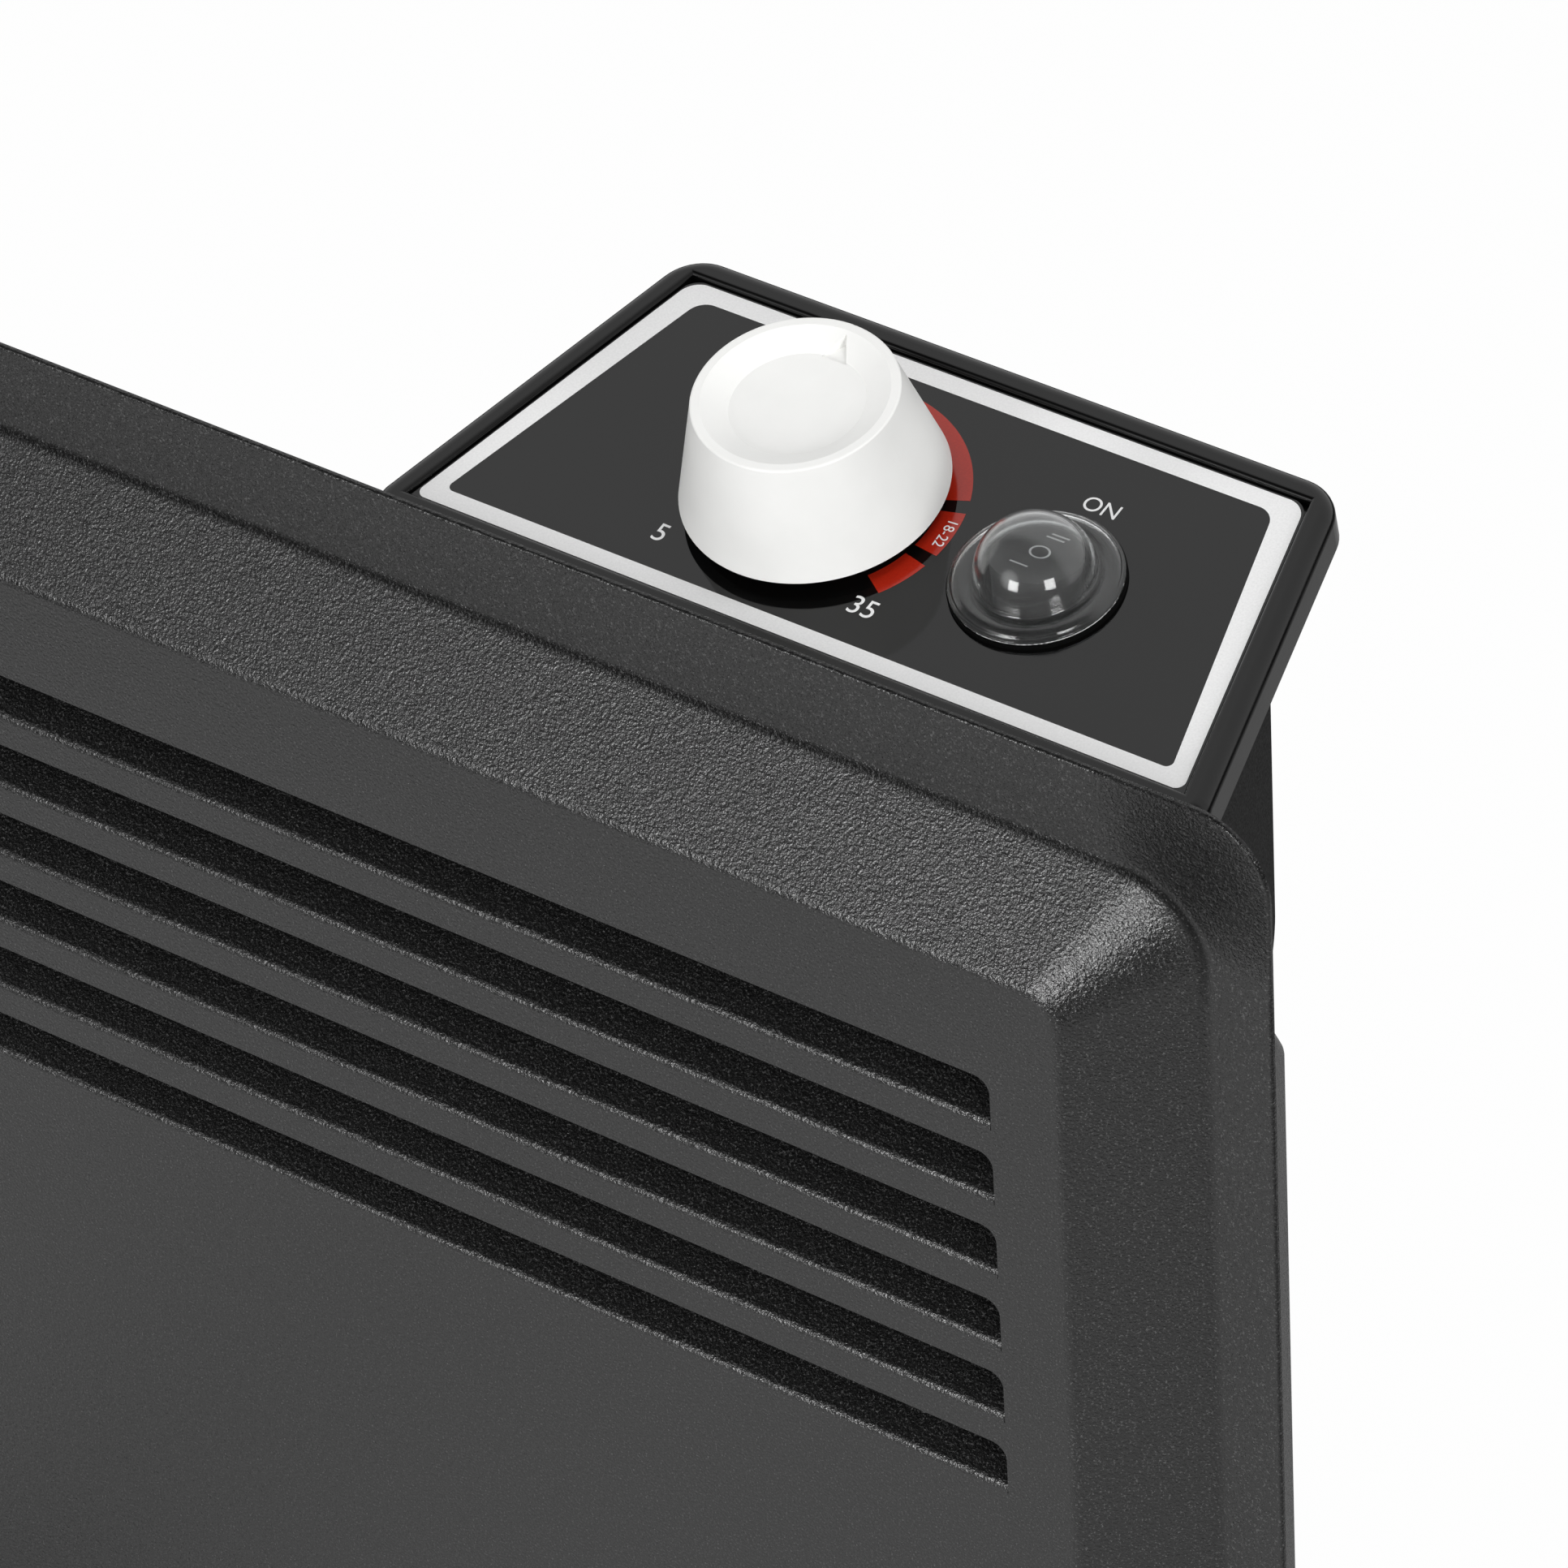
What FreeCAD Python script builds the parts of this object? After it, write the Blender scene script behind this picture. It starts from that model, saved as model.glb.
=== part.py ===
import FreeCAD, Part
import math
import os
import Sketcher

# Convector heater on floor feet, in millimetres.
# X runs to the right as seen from the front, Y to the back, Z up from the floor.

SIZES = {
    # front panel
    "panel_width": 459.0,
    "panel_height": 400.0,
    "panel_lift": 42.0,
    "panel_gauge": 1.0,
    "flange_front": 26.0,
    "flange_side": 11.8,
    "flange_top": 17.6,
    "flange_corner": 14.0,
    "slope_run": 20.0,
    "slope_rise": 14.0,
    "slope_corner": 14.0,
    "face_corner": 6.0,
    "crease_radius": 3.0,
    "flange_crease": 4.5,
    "flange_edge": 0.6,
    # louvres
    "louvre_rows": 6.0,
    "louvre_drop": 59.5,
    "louvre_pitch": 16.0,
    "louvre_slot": 9.3,
    "louvre_inset": 45.2,
    "louvre_lean": 58.0,
    "louvre_slit": 0.15,
    "louvre_corner": 3.0,
    "louvre_bend": 1.8,
    "louvre_stub": 0.3,
    # rear case
    "case_gauge": 0.8,
    "case_depth": 66.0,
    "case_side_front": 14.0,
    "case_side_back": 40.3,
    "case_top_front": 18.5,
    "case_top_back": 107.0,
    "case_base": 18.0,
    "case_round": 4.0,
    "lip_margin": 2.5,
    "stud_radius": 2.0,
    "stud_length": 7.0,
    "nut_flats": 7.0,
    "nut_thick": 3.2,
    "stud_inset": 125.0,
    "fit_gap": 0.2,
    # air inlet and wall slots
    "inlet_count": 9.0,
    "inlet_pitch": 22.0,
    "inlet_width": 12.0,
    "inlet_depth": 36.0,
    "keyhole_spread": 220.0,
    "keyhole_height": 250.0,
    "keyhole_head": 5.0,
    "keyhole_neck": 2.6,
    "keyhole_rise": 9.0,
    # control unit
    "control_side": 95.9,
    "control_tilt": 11.0,
    "fascia_setback": 7.0,
    "fascia_drop": 4.3,
    "overlay_front": 151.8,
    "overlay_back": 121.6,
    "overlay_depth": 61.9,
    "overlay_thick": 1.0,
    "overlay_corner": 4.0,
    "overlay_gap": 0.25,
    "bezel_rim": 5.0,
    "bezel_rise": 1.0,
    "bezel_height": 7.6,
    "bezel_plate": 2.2,
    "bezel_skirt": 2.0,
    "bezel_corner": 8.5,
    "bezel_edge": 2.5,
    "bezel_inner_edge": 0.8,
    "housing_front": 6.0,
    "housing_back": 66.0,
    "housing_half_front": 78.0,
    "housing_half_back": 53.8,
    "housing_wall": 2.0,
    "housing_heel": 9.0,
    "tub_screw_spread": 76.0,
    "tub_screw_back": 29.0,
    # thermostat and knob
    "knob_across": -13.6,
    "knob_back": 29.2,
    "knob_base": 22.6,
    "knob_top": 17.3,
    "knob_height": 20.7,
    "knob_lift": 3.0,
    "knob_wall": 1.8,
    "knob_land": 1.6,
    "knob_disc": 11.3,
    "knob_dish": 2.3,
    "knob_hub": 6.0,
    "shaft_radius": 3.0,
    "shaft_gap": 0.05,
    "shaft_grip": 11.0,
    "shaft_sink": 8.0,
    "hub_rise": 2.0,
    "bush_rise": 1.5,
    "knob_rim": 0.4,
    "pointer_half": 2.4,
    "pointer_sink": 0.6,
    "pointer_gap": 0.6,
    "bush_radius": 5.0,
    "thermostat_side": 36.0,
    "thermostat_depth": 21.0,
    "thermostat_screw": 1.7,
    "thermostat_spread": 28.0,
    # rocker switch
    "switch_across": 30.0,
    "switch_back": 28.3,
    "switch_ring": 14.8,
    "switch_ring_thick": 0.8,
    "switch_barrel": 10.1,
    "switch_length": 20.0,
    "switch_cavity": 9.0,
    "switch_cavity_deep": 8.0,
    "rocker_radius": 7.6,
    "rocker_thick": 8.2,
    "rocker_hollow": 0.5,
    "rocker_sink": 2.0,
    "rocker_rest": 10.0,
    "pivot_drop": 1.0,
    "pin_radius": 1.2,
    "blade_half": 3.2,
    "blade_pitch": 5.5,
    "blade_gauge": 0.8,
    "blade_long": 9.0,
    "hood_rim": 14.6,
    "hood_rim_thick": 1.9,
    "hood_dome": 9.85,
    "hood_wall": 0.7,
    "hood_spring": 0.3,
    "hood_crown": 9.6,
    # heating element
    "element_height": 68.0,
    "element_setback": 34.0,
    "fin_margin": 16.0,
    "fin_hub": 9.0,
    "fin_reach": 24.0,
    "fin_thick": 2.4,
    "core_radius": 4.0,
    "core_tail": 10.0,
    "bracket_margin": 20.0,
    "bracket_gauge": 1.5,
    "bracket_width": 34.0,
    "bracket_foot": 14.0,
    "bush_collar": 8.0,
    "bush_bore_gap": 0.1,
    "bush_long": 10.0,
    "bush_step": 2.0,
    "rivet_radius": 1.6,
    "rivet_head": 1.0,
    # shield, cut-out and terminals
    "shield_margin": 21.0,
    "shield_height": 170.0,
    "shield_gauge": 0.6,
    "shield_stand": 5.0,
    "shield_lift": 14.0,
    "cutout_inset": 49.0,
    "cutout_radius": 8.0,
    "cutout_thick": 7.0,
    "cutout_plate": 1.0,
    "cutout_plate_long": 32.0,
    "cutout_plate_wide": 18.0,
    "cutout_rise": 112.0,
    "block_inset": 66.0,
    "block_long": 34.0,
    "block_wide": 18.0,
    "block_deep": 15.0,
    "block_bore": 1.8,
    # sensing bulb
    "bulb_radius": 3.2,
    "bulb_long": 70.0,
    "bulb_inset": 46.0,
    "bulb_rise": 6.0,
    "bulb_setback": 11.0,
    "clip_wide": 8.0,
    "clip_gauge": 0.8,
    "capillary_radius": 0.9,
    "grommet_radius": 5.0,
    "grommet_lip": 1.5,
    "wire_radius": 1.1,
    "wire_bend": 5.0,
    "capillary_bend": 4.0,
    "lead_gap": 2.6,
    "lead_touch": 0.3,
    "lead_core": 9.0,
    "lead_turn": 14.0,
    "lead_side": 16.0,
    "lead_front": 32.0,
    "lead_rise": 220.0,
    "lead_hang": 70.0,
    "lead_climb": 150.0,
    "lead_drop": 24.0,
    "lead_over": 2.0,
    "lead_face": 11.0,
    "lead_blade": 12.0,
    "lead_pin": 4.0,
    "lead_stray": 6.0,
    # cord gland
    "gland_inset": 23.2,
    "gland_rise": 30.0,
    "gland_radius": 6.0,
    "gland_bore": 3.4,
    "gland_head": 9.0,
    "gland_head_long": 12.0,
    "gland_nut_thick": 4.0,
    "gland_nut_radius": 9.0,
    # feet
    "foot_inset": 80.0,
    "foot_width": 36.0,
    "foot_length": 230.0,
    "foot_bar": 16.0,
    "foot_toe": 9.0,
    "foot_post": 50.0,
    "foot_post_front": 7.0,
    "foot_round": 3.0,
    "pad_thick": 4.0,
    "pad_length": 30.0,
    "pad_margin": 4.0,
    "foot_screw": 2.0,
    "foot_screw_pitch": 26.0,
    "foot_web": 8.0,
    "screw_head": 3.8,
    "screw_head_thick": 2.6,
}

DOC = FreeCAD.newDocument("convector_heater")
SHEET = DOC.addObject("Spreadsheet::Sheet", "Sizes")
for row, (alias, number) in enumerate(SIZES.items(), start=1):
    SHEET.set(f"A{row}", alias)
    SHEET.set(f"B{row}", repr(number))
    SHEET.setAlias(f"B{row}", alias)
DOC.recompute()


class Size:
    """A measure from the sheet: its number, and the text that binds a property to its cells."""

    def __init__(self, number, text):
        self.number = number
        self.text = text

    def __add__(self, other):
        return joined(self, "+", other, self.number + number_of(other))

    def __radd__(self, other):
        return joined(other, "+", self, number_of(other) + self.number)

    def __sub__(self, other):
        return joined(self, "-", other, self.number - number_of(other))

    def __rsub__(self, other):
        return joined(other, "-", self, number_of(other) - self.number)

    def __mul__(self, other):
        return joined(self, "*", other, self.number * number_of(other))

    def __rtruediv__(self, other):
        return joined(other, "/", self, number_of(other) / self.number)

    def __rmul__(self, other):
        return joined(other, "*", self, number_of(other) * self.number)

    def __truediv__(self, other):
        return joined(self, "/", other, self.number / number_of(other))

    def __neg__(self):
        return Size(-self.number, f"(0 - {self.text})")


def number_of(value):
    return value.number if isinstance(value, Size) else float(value)


def text_of(value):
    return value.text if isinstance(value, Size) else repr(float(value))


def joined(left, sign, right, number):
    return Size(number, f"({text_of(left)} {sign} {text_of(right)})")


def size(alias):
    return Size(SIZES[alias], "Sizes." + alias)


def sine(degrees):
    return Size(math.sin(math.radians(number_of(degrees))), f"sin({text_of(degrees)} * 1deg)")


def cosine(degrees):
    return Size(math.cos(math.radians(number_of(degrees))), f"cos({text_of(degrees)} * 1deg)")


def hypotenuse(slope):
    return Size(math.hypot(1.0, number_of(slope)), f"sqrt(1 + {text_of(slope)} * {text_of(slope)})")


def arctangent(slope):
    return Size(math.degrees(math.atan(number_of(slope))), f"atan({text_of(slope)})")


def bind(thing, prop, value):
    """Sets a property, tied to the sheet where the value comes from there."""
    if isinstance(value, Size):
        thing.setExpression(prop, value.text)
    else:
        setattr(thing, prop, value)


def place(thing, base, axis=(0, 0, 1), angle=0.0):
    """Puts an object at a point, turned about an axis."""
    turn = FreeCAD.Rotation(FreeCAD.Vector(*axis), number_of(angle))
    spot = FreeCAD.Vector(*[number_of(value) for value in base])
    thing.Placement = FreeCAD.Placement(spot, turn)
    for letter, value in zip("xyz", base):
        if isinstance(value, Size):
            thing.setExpression(f"Placement.Base.{letter}", value.text)
    if isinstance(angle, Size):
        thing.setExpression("Placement.Rotation.Angle", angle.text)
    return thing


def box(name, corner, extent, axis=(0, 0, 1), angle=0.0):
    block = DOC.addObject("Part::Box", name)
    for prop, value in zip(("Length", "Width", "Height"), extent):
        bind(block, prop, value)
    return place(block, corner, axis, angle)


def cylinder(name, base, radius, height, axis=(0, 0, 1), angle=0.0):
    rod = DOC.addObject("Part::Cylinder", name)
    bind(rod, "Radius", radius)
    bind(rod, "Height", height)
    return place(rod, base, axis, angle)


def prism(name, base, flats, height, axis=(0, 0, 1), angle=0.0):
    """A hexagon bar, given by its width across flats."""
    bar = DOC.addObject("Part::Prism", name)
    bar.Polygon = 6
    bind(bar, "Circumradius", flats / math.sqrt(3.0))
    bind(bar, "Height", height)
    return place(bar, base, axis, angle)


def cut(name, base, tools):
    result = DOC.addObject("Part::Cut", name)
    result.Base = base
    result.Tool = tools[0] if len(tools) == 1 else fuse(name + "_tools", tools)
    return result


def fuse(name, pieces):
    result = DOC.addObject("Part::MultiFuse", name)
    result.Shapes = pieces
    return result


def group(name, pieces):
    """Several equal solids that belong to one node."""
    result = DOC.addObject("Part::Compound", name)
    result.Links = pieces
    return result


def body(name):
    return DOC.addObject("PartDesign::Body", name)


def origin(host, role):
    return [item for item in host.Origin.OriginFeatures if item.Role == role][0]


def sketch(host, role, lift=0.0):
    """An empty sketch on one of the body's own planes, lifted along that plane's normal."""
    drawing = host.newObject("Sketcher::SketchObject", "outline")
    drawing.AttachmentSupport = [(origin(host, role), "")]
    drawing.MapMode = "FlatFace"
    if isinstance(lift, Size):
        drawing.setExpression("AttachmentOffset.Base.z", lift.text)
    else:
        drawing.AttachmentOffset = FreeCAD.Placement(FreeCAD.Vector(0, 0, lift), FreeCAD.Rotation())
    return drawing


def pin_point(drawing, item, spot, point):
    """Fixes one sketch point at a measured distance from the sketch's own origin."""
    for kind, value in zip(("DistanceX", "DistanceY"), point):
        index = drawing.addConstraint(Sketcher.Constraint(kind, -1, 1, item, spot, number_of(value)))
        if isinstance(value, Size):
            drawing.setExpression(f"Constraints[{index}]", value.text)


def polygon(host, role, points, lift=0.0):
    """A closed outline of straight lines through measured points."""
    drawing = sketch(host, role, lift)
    corners = [FreeCAD.Vector(number_of(p[0]), number_of(p[1]), 0) for p in points]
    count = len(corners)
    for index in range(count):
        drawing.addGeometry(Part.LineSegment(corners[index], corners[(index + 1) % count]))
    for index in range(count):
        drawing.addConstraint(Sketcher.Constraint("Coincident", index, 2, (index + 1) % count, 1))
    for index in range(count):
        pin_point(drawing, index, 1, points[index])
    return drawing


def rounded(host, role, half_x, low, high, radius, lift=0.0):
    """A rectangle with round corners, even about the upright axis."""
    drawing = sketch(host, role, lift)
    x, bottom, top, r = (number_of(value) for value in (half_x, low, high, radius))
    spots = [(x - r, bottom + r, -90), (x - r, top - r, 0), (r - x, top - r, 90), (r - x, bottom + r, 180)]
    for cx, cy, start in spots:
        circle = Part.Circle(FreeCAD.Vector(cx, cy, 0), FreeCAD.Vector(0, 0, 1), r)
        drawing.addGeometry(Part.ArcOfCircle(circle, math.radians(start), math.radians(start + 90)))
    ends = [((x, bottom + r), (x, top - r)), ((x - r, top), (r - x, top)),
            ((-x, top - r), (-x, bottom + r)), ((r - x, bottom), (x - r, bottom))]
    for first, last in ends:
        drawing.addGeometry(Part.LineSegment(FreeCAD.Vector(*first, 0), FreeCAD.Vector(*last, 0)))
    for index in range(4):
        drawing.addConstraint(Sketcher.Constraint("Tangent", index, 2, 4 + index, 1))
        drawing.addConstraint(Sketcher.Constraint("Tangent", 4 + index, 2, (index + 1) % 4, 1))
    for index in (1, 2, 3):
        drawing.addConstraint(Sketcher.Constraint("Equal", 0, index))
    index = drawing.addConstraint(Sketcher.Constraint("Radius", 0, r))
    bind_constraint(drawing, index, radius)
    pin_point(drawing, 4, 1, (half_x, low + radius))
    pin_point(drawing, 5, 2, (radius - half_x, high))
    drawing.addConstraint(Sketcher.Constraint("Vertical", 4))
    return drawing


def bind_constraint(drawing, index, value):
    if isinstance(value, Size):
        drawing.setExpression(f"Constraints[{index}]", value.text)


def ring_sketch(host, role, spots, lift=0.0):
    """Full circles, each given by its middle and radius."""
    drawing = sketch(host, role, lift)
    for item, (middle, radius) in enumerate(spots):
        spot = FreeCAD.Vector(number_of(middle[0]), number_of(middle[1]), 0)
        drawing.addGeometry(Part.Circle(spot, FreeCAD.Vector(0, 0, 1), number_of(radius)))
        pin_point(drawing, item, 3, middle)
        index = drawing.addConstraint(Sketcher.Constraint("Radius", item, number_of(radius)))
        bind_constraint(drawing, index, radius)
    return drawing


def curved(host, role, items, lift=0.0):
    """A closed outline through measured points; an item with a second point is an arc about that point."""
    drawing = sketch(host, role, lift)
    spots = [FreeCAD.Vector(number_of(item[0][0]), number_of(item[0][1]), 0) for item in items]
    ends = []
    for index, item in enumerate(items):
        here, there = spots[index], spots[(index + 1) % len(spots)]
        if len(item) == 1:
            drawing.addGeometry(Part.LineSegment(here, there))
            ends.append((1, 2))
            continue
        middle = FreeCAD.Vector(number_of(item[1][0]), number_of(item[1][1]), 0)
        circle = Part.Circle(middle, FreeCAD.Vector(0, 0, 1), (here - middle).Length)
        angles = [math.atan2(p.y - middle.y, p.x - middle.x) for p in (here, there)]
        forward = (here - middle).cross(there - middle).z > 0
        drawing.addGeometry(Part.ArcOfCircle(circle, *(angles if forward else angles[::-1])))
        ends.append((1, 2) if forward else (2, 1))
    for index, item in enumerate(items):
        after = (index + 1) % len(items)
        drawing.addConstraint(Sketcher.Constraint("Coincident", index, ends[index][1], after, ends[after][0]))
        pin_point(drawing, index, ends[index][0], item[0])
        if len(item) == 2:
            kind = Sketcher.Constraint("DistanceX", -1, 1, index, 3, number_of(item[1][0]))
            bind_constraint(drawing, drawing.addConstraint(kind), item[1][0])
    return drawing


def pad(host, drawing, length, back=False, middle=False):
    feature = host.newObject("PartDesign::Pad", "pad")
    feature.Profile = drawing
    feature.Reversed = back
    feature.Midplane = middle
    bind(feature, "Length", length)
    return feature


def pocket(host, drawing, length, back=False, middle=False):
    feature = host.newObject("PartDesign::Pocket", "pocket")
    feature.Profile = drawing
    feature.Reversed = back
    feature.Midplane = middle
    bind(feature, "Length", length)
    return feature


def revolve(host, drawing):
    feature = host.newObject("PartDesign::Revolution", "turned")
    feature.Profile = drawing
    feature.ReferenceAxis = (origin(host, "Z_Axis"), [""])
    feature.Angle = 360.0
    return feature


def loft(host, first, last, kind="PartDesign::AdditiveLoft"):
    feature = host.newObject(kind, "loft")
    feature.Profile = first
    feature.Sections = [last]
    feature.Ruled = True
    return feature


def upright_edges(feature, points, axis="z"):
    """Names of the straight edges that stand on the given points of a padded outline."""
    DOC.recompute()
    names = []
    keep = {"z": (0, 1), "x": (1, 2), "y": (0, 2)}[axis]
    for index, edge in enumerate(feature.Shape.Edges, start=1):
        if len(edge.Vertexes) != 2:
            continue
        ends = [(v.X, v.Y, v.Z) for v in edge.Vertexes]
        for point in points:
            spot = [number_of(value) for value in point]
            if all(abs(end[keep[k]] - spot[k]) < 0.01 for end in ends for k in (0, 1)):
                names.append(f"Edge{index}")
    return names


def level_edges(feature, height):
    """Names of all edges that lie at one height."""
    DOC.recompute()
    level = number_of(height)
    edges = enumerate(feature.Shape.Edges, start=1)
    return [f"Edge{i}" for i, edge in edges if all(abs(v.Z - level) < 0.01 for v in edge.Vertexes)]


def fillet(host, feature, names, radius):
    rounding = host.newObject("PartDesign::Fillet", "fillet")
    rounding.Base = (feature, names)
    bind(rounding, "Radius", radius)
    return rounding


# Shared places
half_width = size("panel_width") / 2
panel_low = size("panel_lift")
panel_top = panel_low + size("panel_height")
flange_y = -size("flange_front")
gauge = size("panel_gauge")
flange_back = flange_y + gauge
case_back = flange_y + size("case_depth")
case_gauge = size("case_gauge")
case_floor = panel_low + size("case_base")
case_inner_floor = case_floor + case_gauge
case_inner_back = case_back - case_gauge
fit_gap = size("fit_gap")
zero = Size(0.0, "0")
case_half_front = half_width - size("case_side_front")
case_half_back = half_width - size("case_side_back")

# Front panel: one pressed sheet, a flat flange, four sloped sides and a raised face with louvres.
panel = body("front_panel")
place(panel, (0, flange_y, panel_low))
panel_high = size("panel_height")
flange_sheet = pad(panel, rounded(panel, "XZ_Plane", half_width, Size(0.0, "0"), panel_high,
                                  size("flange_corner")), gauge, back=True)
foot_half = half_width - size("flange_side")
foot_low = size("flange_top")
foot_high = panel_high - size("flange_top")
face_half = foot_half - size("slope_run")
face_low = foot_low + size("slope_run")
face_high = foot_high - size("slope_run")
rise = size("slope_rise")
outer_loft = loft(panel, rounded(panel, "XZ_Plane", foot_half, foot_low, foot_high, size("slope_corner")),
                  rounded(panel, "XZ_Plane", face_half, face_low, face_high, size("face_corner"), rise))
inner_loft = loft(panel, rounded(panel, "XZ_Plane", foot_half, foot_low, foot_high, size("slope_corner"), -gauge),
                  rounded(panel, "XZ_Plane", face_half, face_low, face_high, size("face_corner"), rise - gauge),
                  "PartDesign::SubtractiveLoft")
DOC.recompute()


def depth_edges(feature, depth):
    level = number_of(depth)
    edges = enumerate(feature.Shape.Edges, start=1)
    return [f"Edge{i}" for i, edge in edges if all(abs(v.Y - level) < 0.01 for v in edge.Vertexes)]


face_round = fillet(panel, inner_loft, depth_edges(inner_loft, -rise), size("crease_radius"))
DOC.recompute()
crease_edges = []
for name in depth_edges(face_round, 0.0):
    reach = face_round.Shape.getElement(name).BoundBox
    if abs(reach.YMax - reach.YMin) < 0.01 and reach.XMax < number_of(foot_half) + 0.01 \
            and reach.ZMax < number_of(foot_high) + 0.01 and reach.ZMin > number_of(foot_low) - 0.01 \
            and reach.XMin > -number_of(foot_half) - 0.01:
        crease_edges.append(name)
flange_round = fillet(panel, face_round, crease_edges, size("flange_crease"))
DOC.recompute()
border_edges = []
for name in depth_edges(flange_round, 0.0):
    reach = flange_round.Shape.getElement(name).BoundBox
    flat = abs(reach.YMax - reach.YMin) < 0.01
    if flat and (max(abs(reach.XMin), abs(reach.XMax)) > number_of(half_width) - 0.01
                 or reach.ZMax > number_of(panel_high) - 0.01 or reach.ZMin < 0.01):
        border_edges.append(name)
edge_round = fillet(panel, flange_round, border_edges, size("flange_edge"))
DOC.recompute()
louvre_half = half_width - size("louvre_inset")
slot_top = panel_high - size("louvre_drop")
slot_low = slot_top - size("louvre_slot")
lean = size("louvre_lean")
bend = size("louvre_bend")
bend_reach = bend * (1 - cosine(lean)) / sine(lean)
bend_low = slot_low - bend_reach
stub_low = bend_low - size("louvre_stub")
corner = size("louvre_corner")
slot_line = [((-louvre_half, stub_low),), ((louvre_half, stub_low),),
             ((louvre_half, slot_top - corner), (louvre_half - corner, slot_top - corner)),
             ((louvre_half - corner, slot_top),),
             ((corner - louvre_half, slot_top), (corner - louvre_half, slot_top - corner)),
             ((-louvre_half, slot_top - corner),)]
slot_cut = pocket(panel, curved(panel, "XZ_Plane", slot_line, rise), gauge * 2)
blade_long = size("louvre_slot") - bend_reach
bend_middle = (bend - rise, bend_low)
blade_root = (bend - rise - bend * cosine(lean), bend_low + bend * sine(lean))
blade_tip = (blade_root[0] + blade_long * sine(lean), blade_root[1] + blade_long * cosine(lean))
blade_back = (blade_tip[0] + gauge * cosine(lean), blade_tip[1] - gauge * sine(lean))
blade_heel = (blade_root[0] + gauge * cosine(lean), blade_root[1] - gauge * sine(lean))
blade_line = [((zero - rise, stub_low),), ((zero - rise, bend_low), bend_middle), (blade_root,), (blade_tip,),
              (blade_back,), (blade_heel, bend_middle), ((gauge - rise, bend_low),), ((gauge - rise, stub_low),)]
blade_pad = pad(panel, curved(panel, "YZ_Plane", blade_line), (louvre_half - size("louvre_slit")) * 2, middle=True)
rows = panel.newObject("PartDesign::LinearPattern", "louvre_rows")
rows.Originals = [slot_cut, blade_pad]
rows.Direction = (origin(panel, "Z_Axis"), [""])
rows.Reversed = True
bind(rows, "Length", size("louvre_pitch") * (size("louvre_rows") - 1))
bind(rows, "Occurrences", size("louvre_rows"))
panel.Tip = rows

# Rear case: a tray of folded sheet, sloped sides and roof, flat floor, with a lip behind the panel's flange.
case_high_front = panel_top - size("case_top_front")
case_high_back = panel_top - size("case_top_back")


case_run = case_back - flange_back
roof_fall = (case_high_front - case_high_back) / case_run
side_fall = (case_half_front - case_half_back) / case_run
roof_length = hypotenuse(roof_fall)
side_length = hypotenuse(side_fall)


def roof(y):
    """Height of the case roof's outer face at one depth."""
    return case_high_front - roof_fall * (y - flange_back)


def tray(name, front, back, sheet):
    """The tapered block of the tray between two depths, or its hollow when drawn in by the sheet."""
    block = DOC.addObject("Part::Wedge", name + "_block")
    bind(block, "Ymin", front)
    bind(block, "Ymax", back)
    for y, mark in ((front, ""), (back, "2")):
        half = case_half_front - side_fall * (y - flange_back) - sheet * side_length
        bind(block, f"X{mark}min", half * -1)
        bind(block, f"X{mark}max", half)
        bind(block, f"Z{mark}min", case_floor + sheet)
        bind(block, f"Z{mark}max", roof(y) - sheet * roof_length)
    DOC.recompute()
    bend_in = SIZES["case_round"] - number_of(sheet)
    near = number_of(front) + 0.01
    rounding = DOC.addObject("Part::Fillet", name)
    rounding.Base = block
    rounding.Edges = [(i, bend_in, bend_in) for i, edge in enumerate(block.Shape.Edges, start=1)
                      if any(v.Y > near for v in edge.Vertexes)]
    return rounding


tray_outer = tray("tray_outer", flange_back, case_back, zero)
tray_inner = tray("tray_inner", flange_back - gauge, case_inner_back, case_gauge)
lip = box("lip_sheet", (size("lip_margin") - half_width, flange_back, panel_low + size("lip_margin")),
          ((half_width - size("lip_margin")) * 2, case_gauge, size("panel_height") - size("lip_margin") * 2))
lip_chamfers = []
for side in (-1, 1):
    for level in (panel_low, panel_top):
        trim = size("flange_corner")
        lip_chamfers.append(box("lip_corner", (half_width * side - trim * 0.75, flange_back - case_gauge,
                                               level - trim * 0.75), (trim * 1.5, case_gauge * 4, trim * 1.5)))
control_x = half_width - size("control_side")
control_gap = size("overlay_front") / 2 + size("bezel_rim") + size("bezel_skirt")
lip_gate = box("lip_gate", (control_x - control_gap, flange_back - case_gauge, case_high_front + case_gauge),
               (control_gap * 2, case_gauge * 4, size("case_top_front")))

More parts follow.
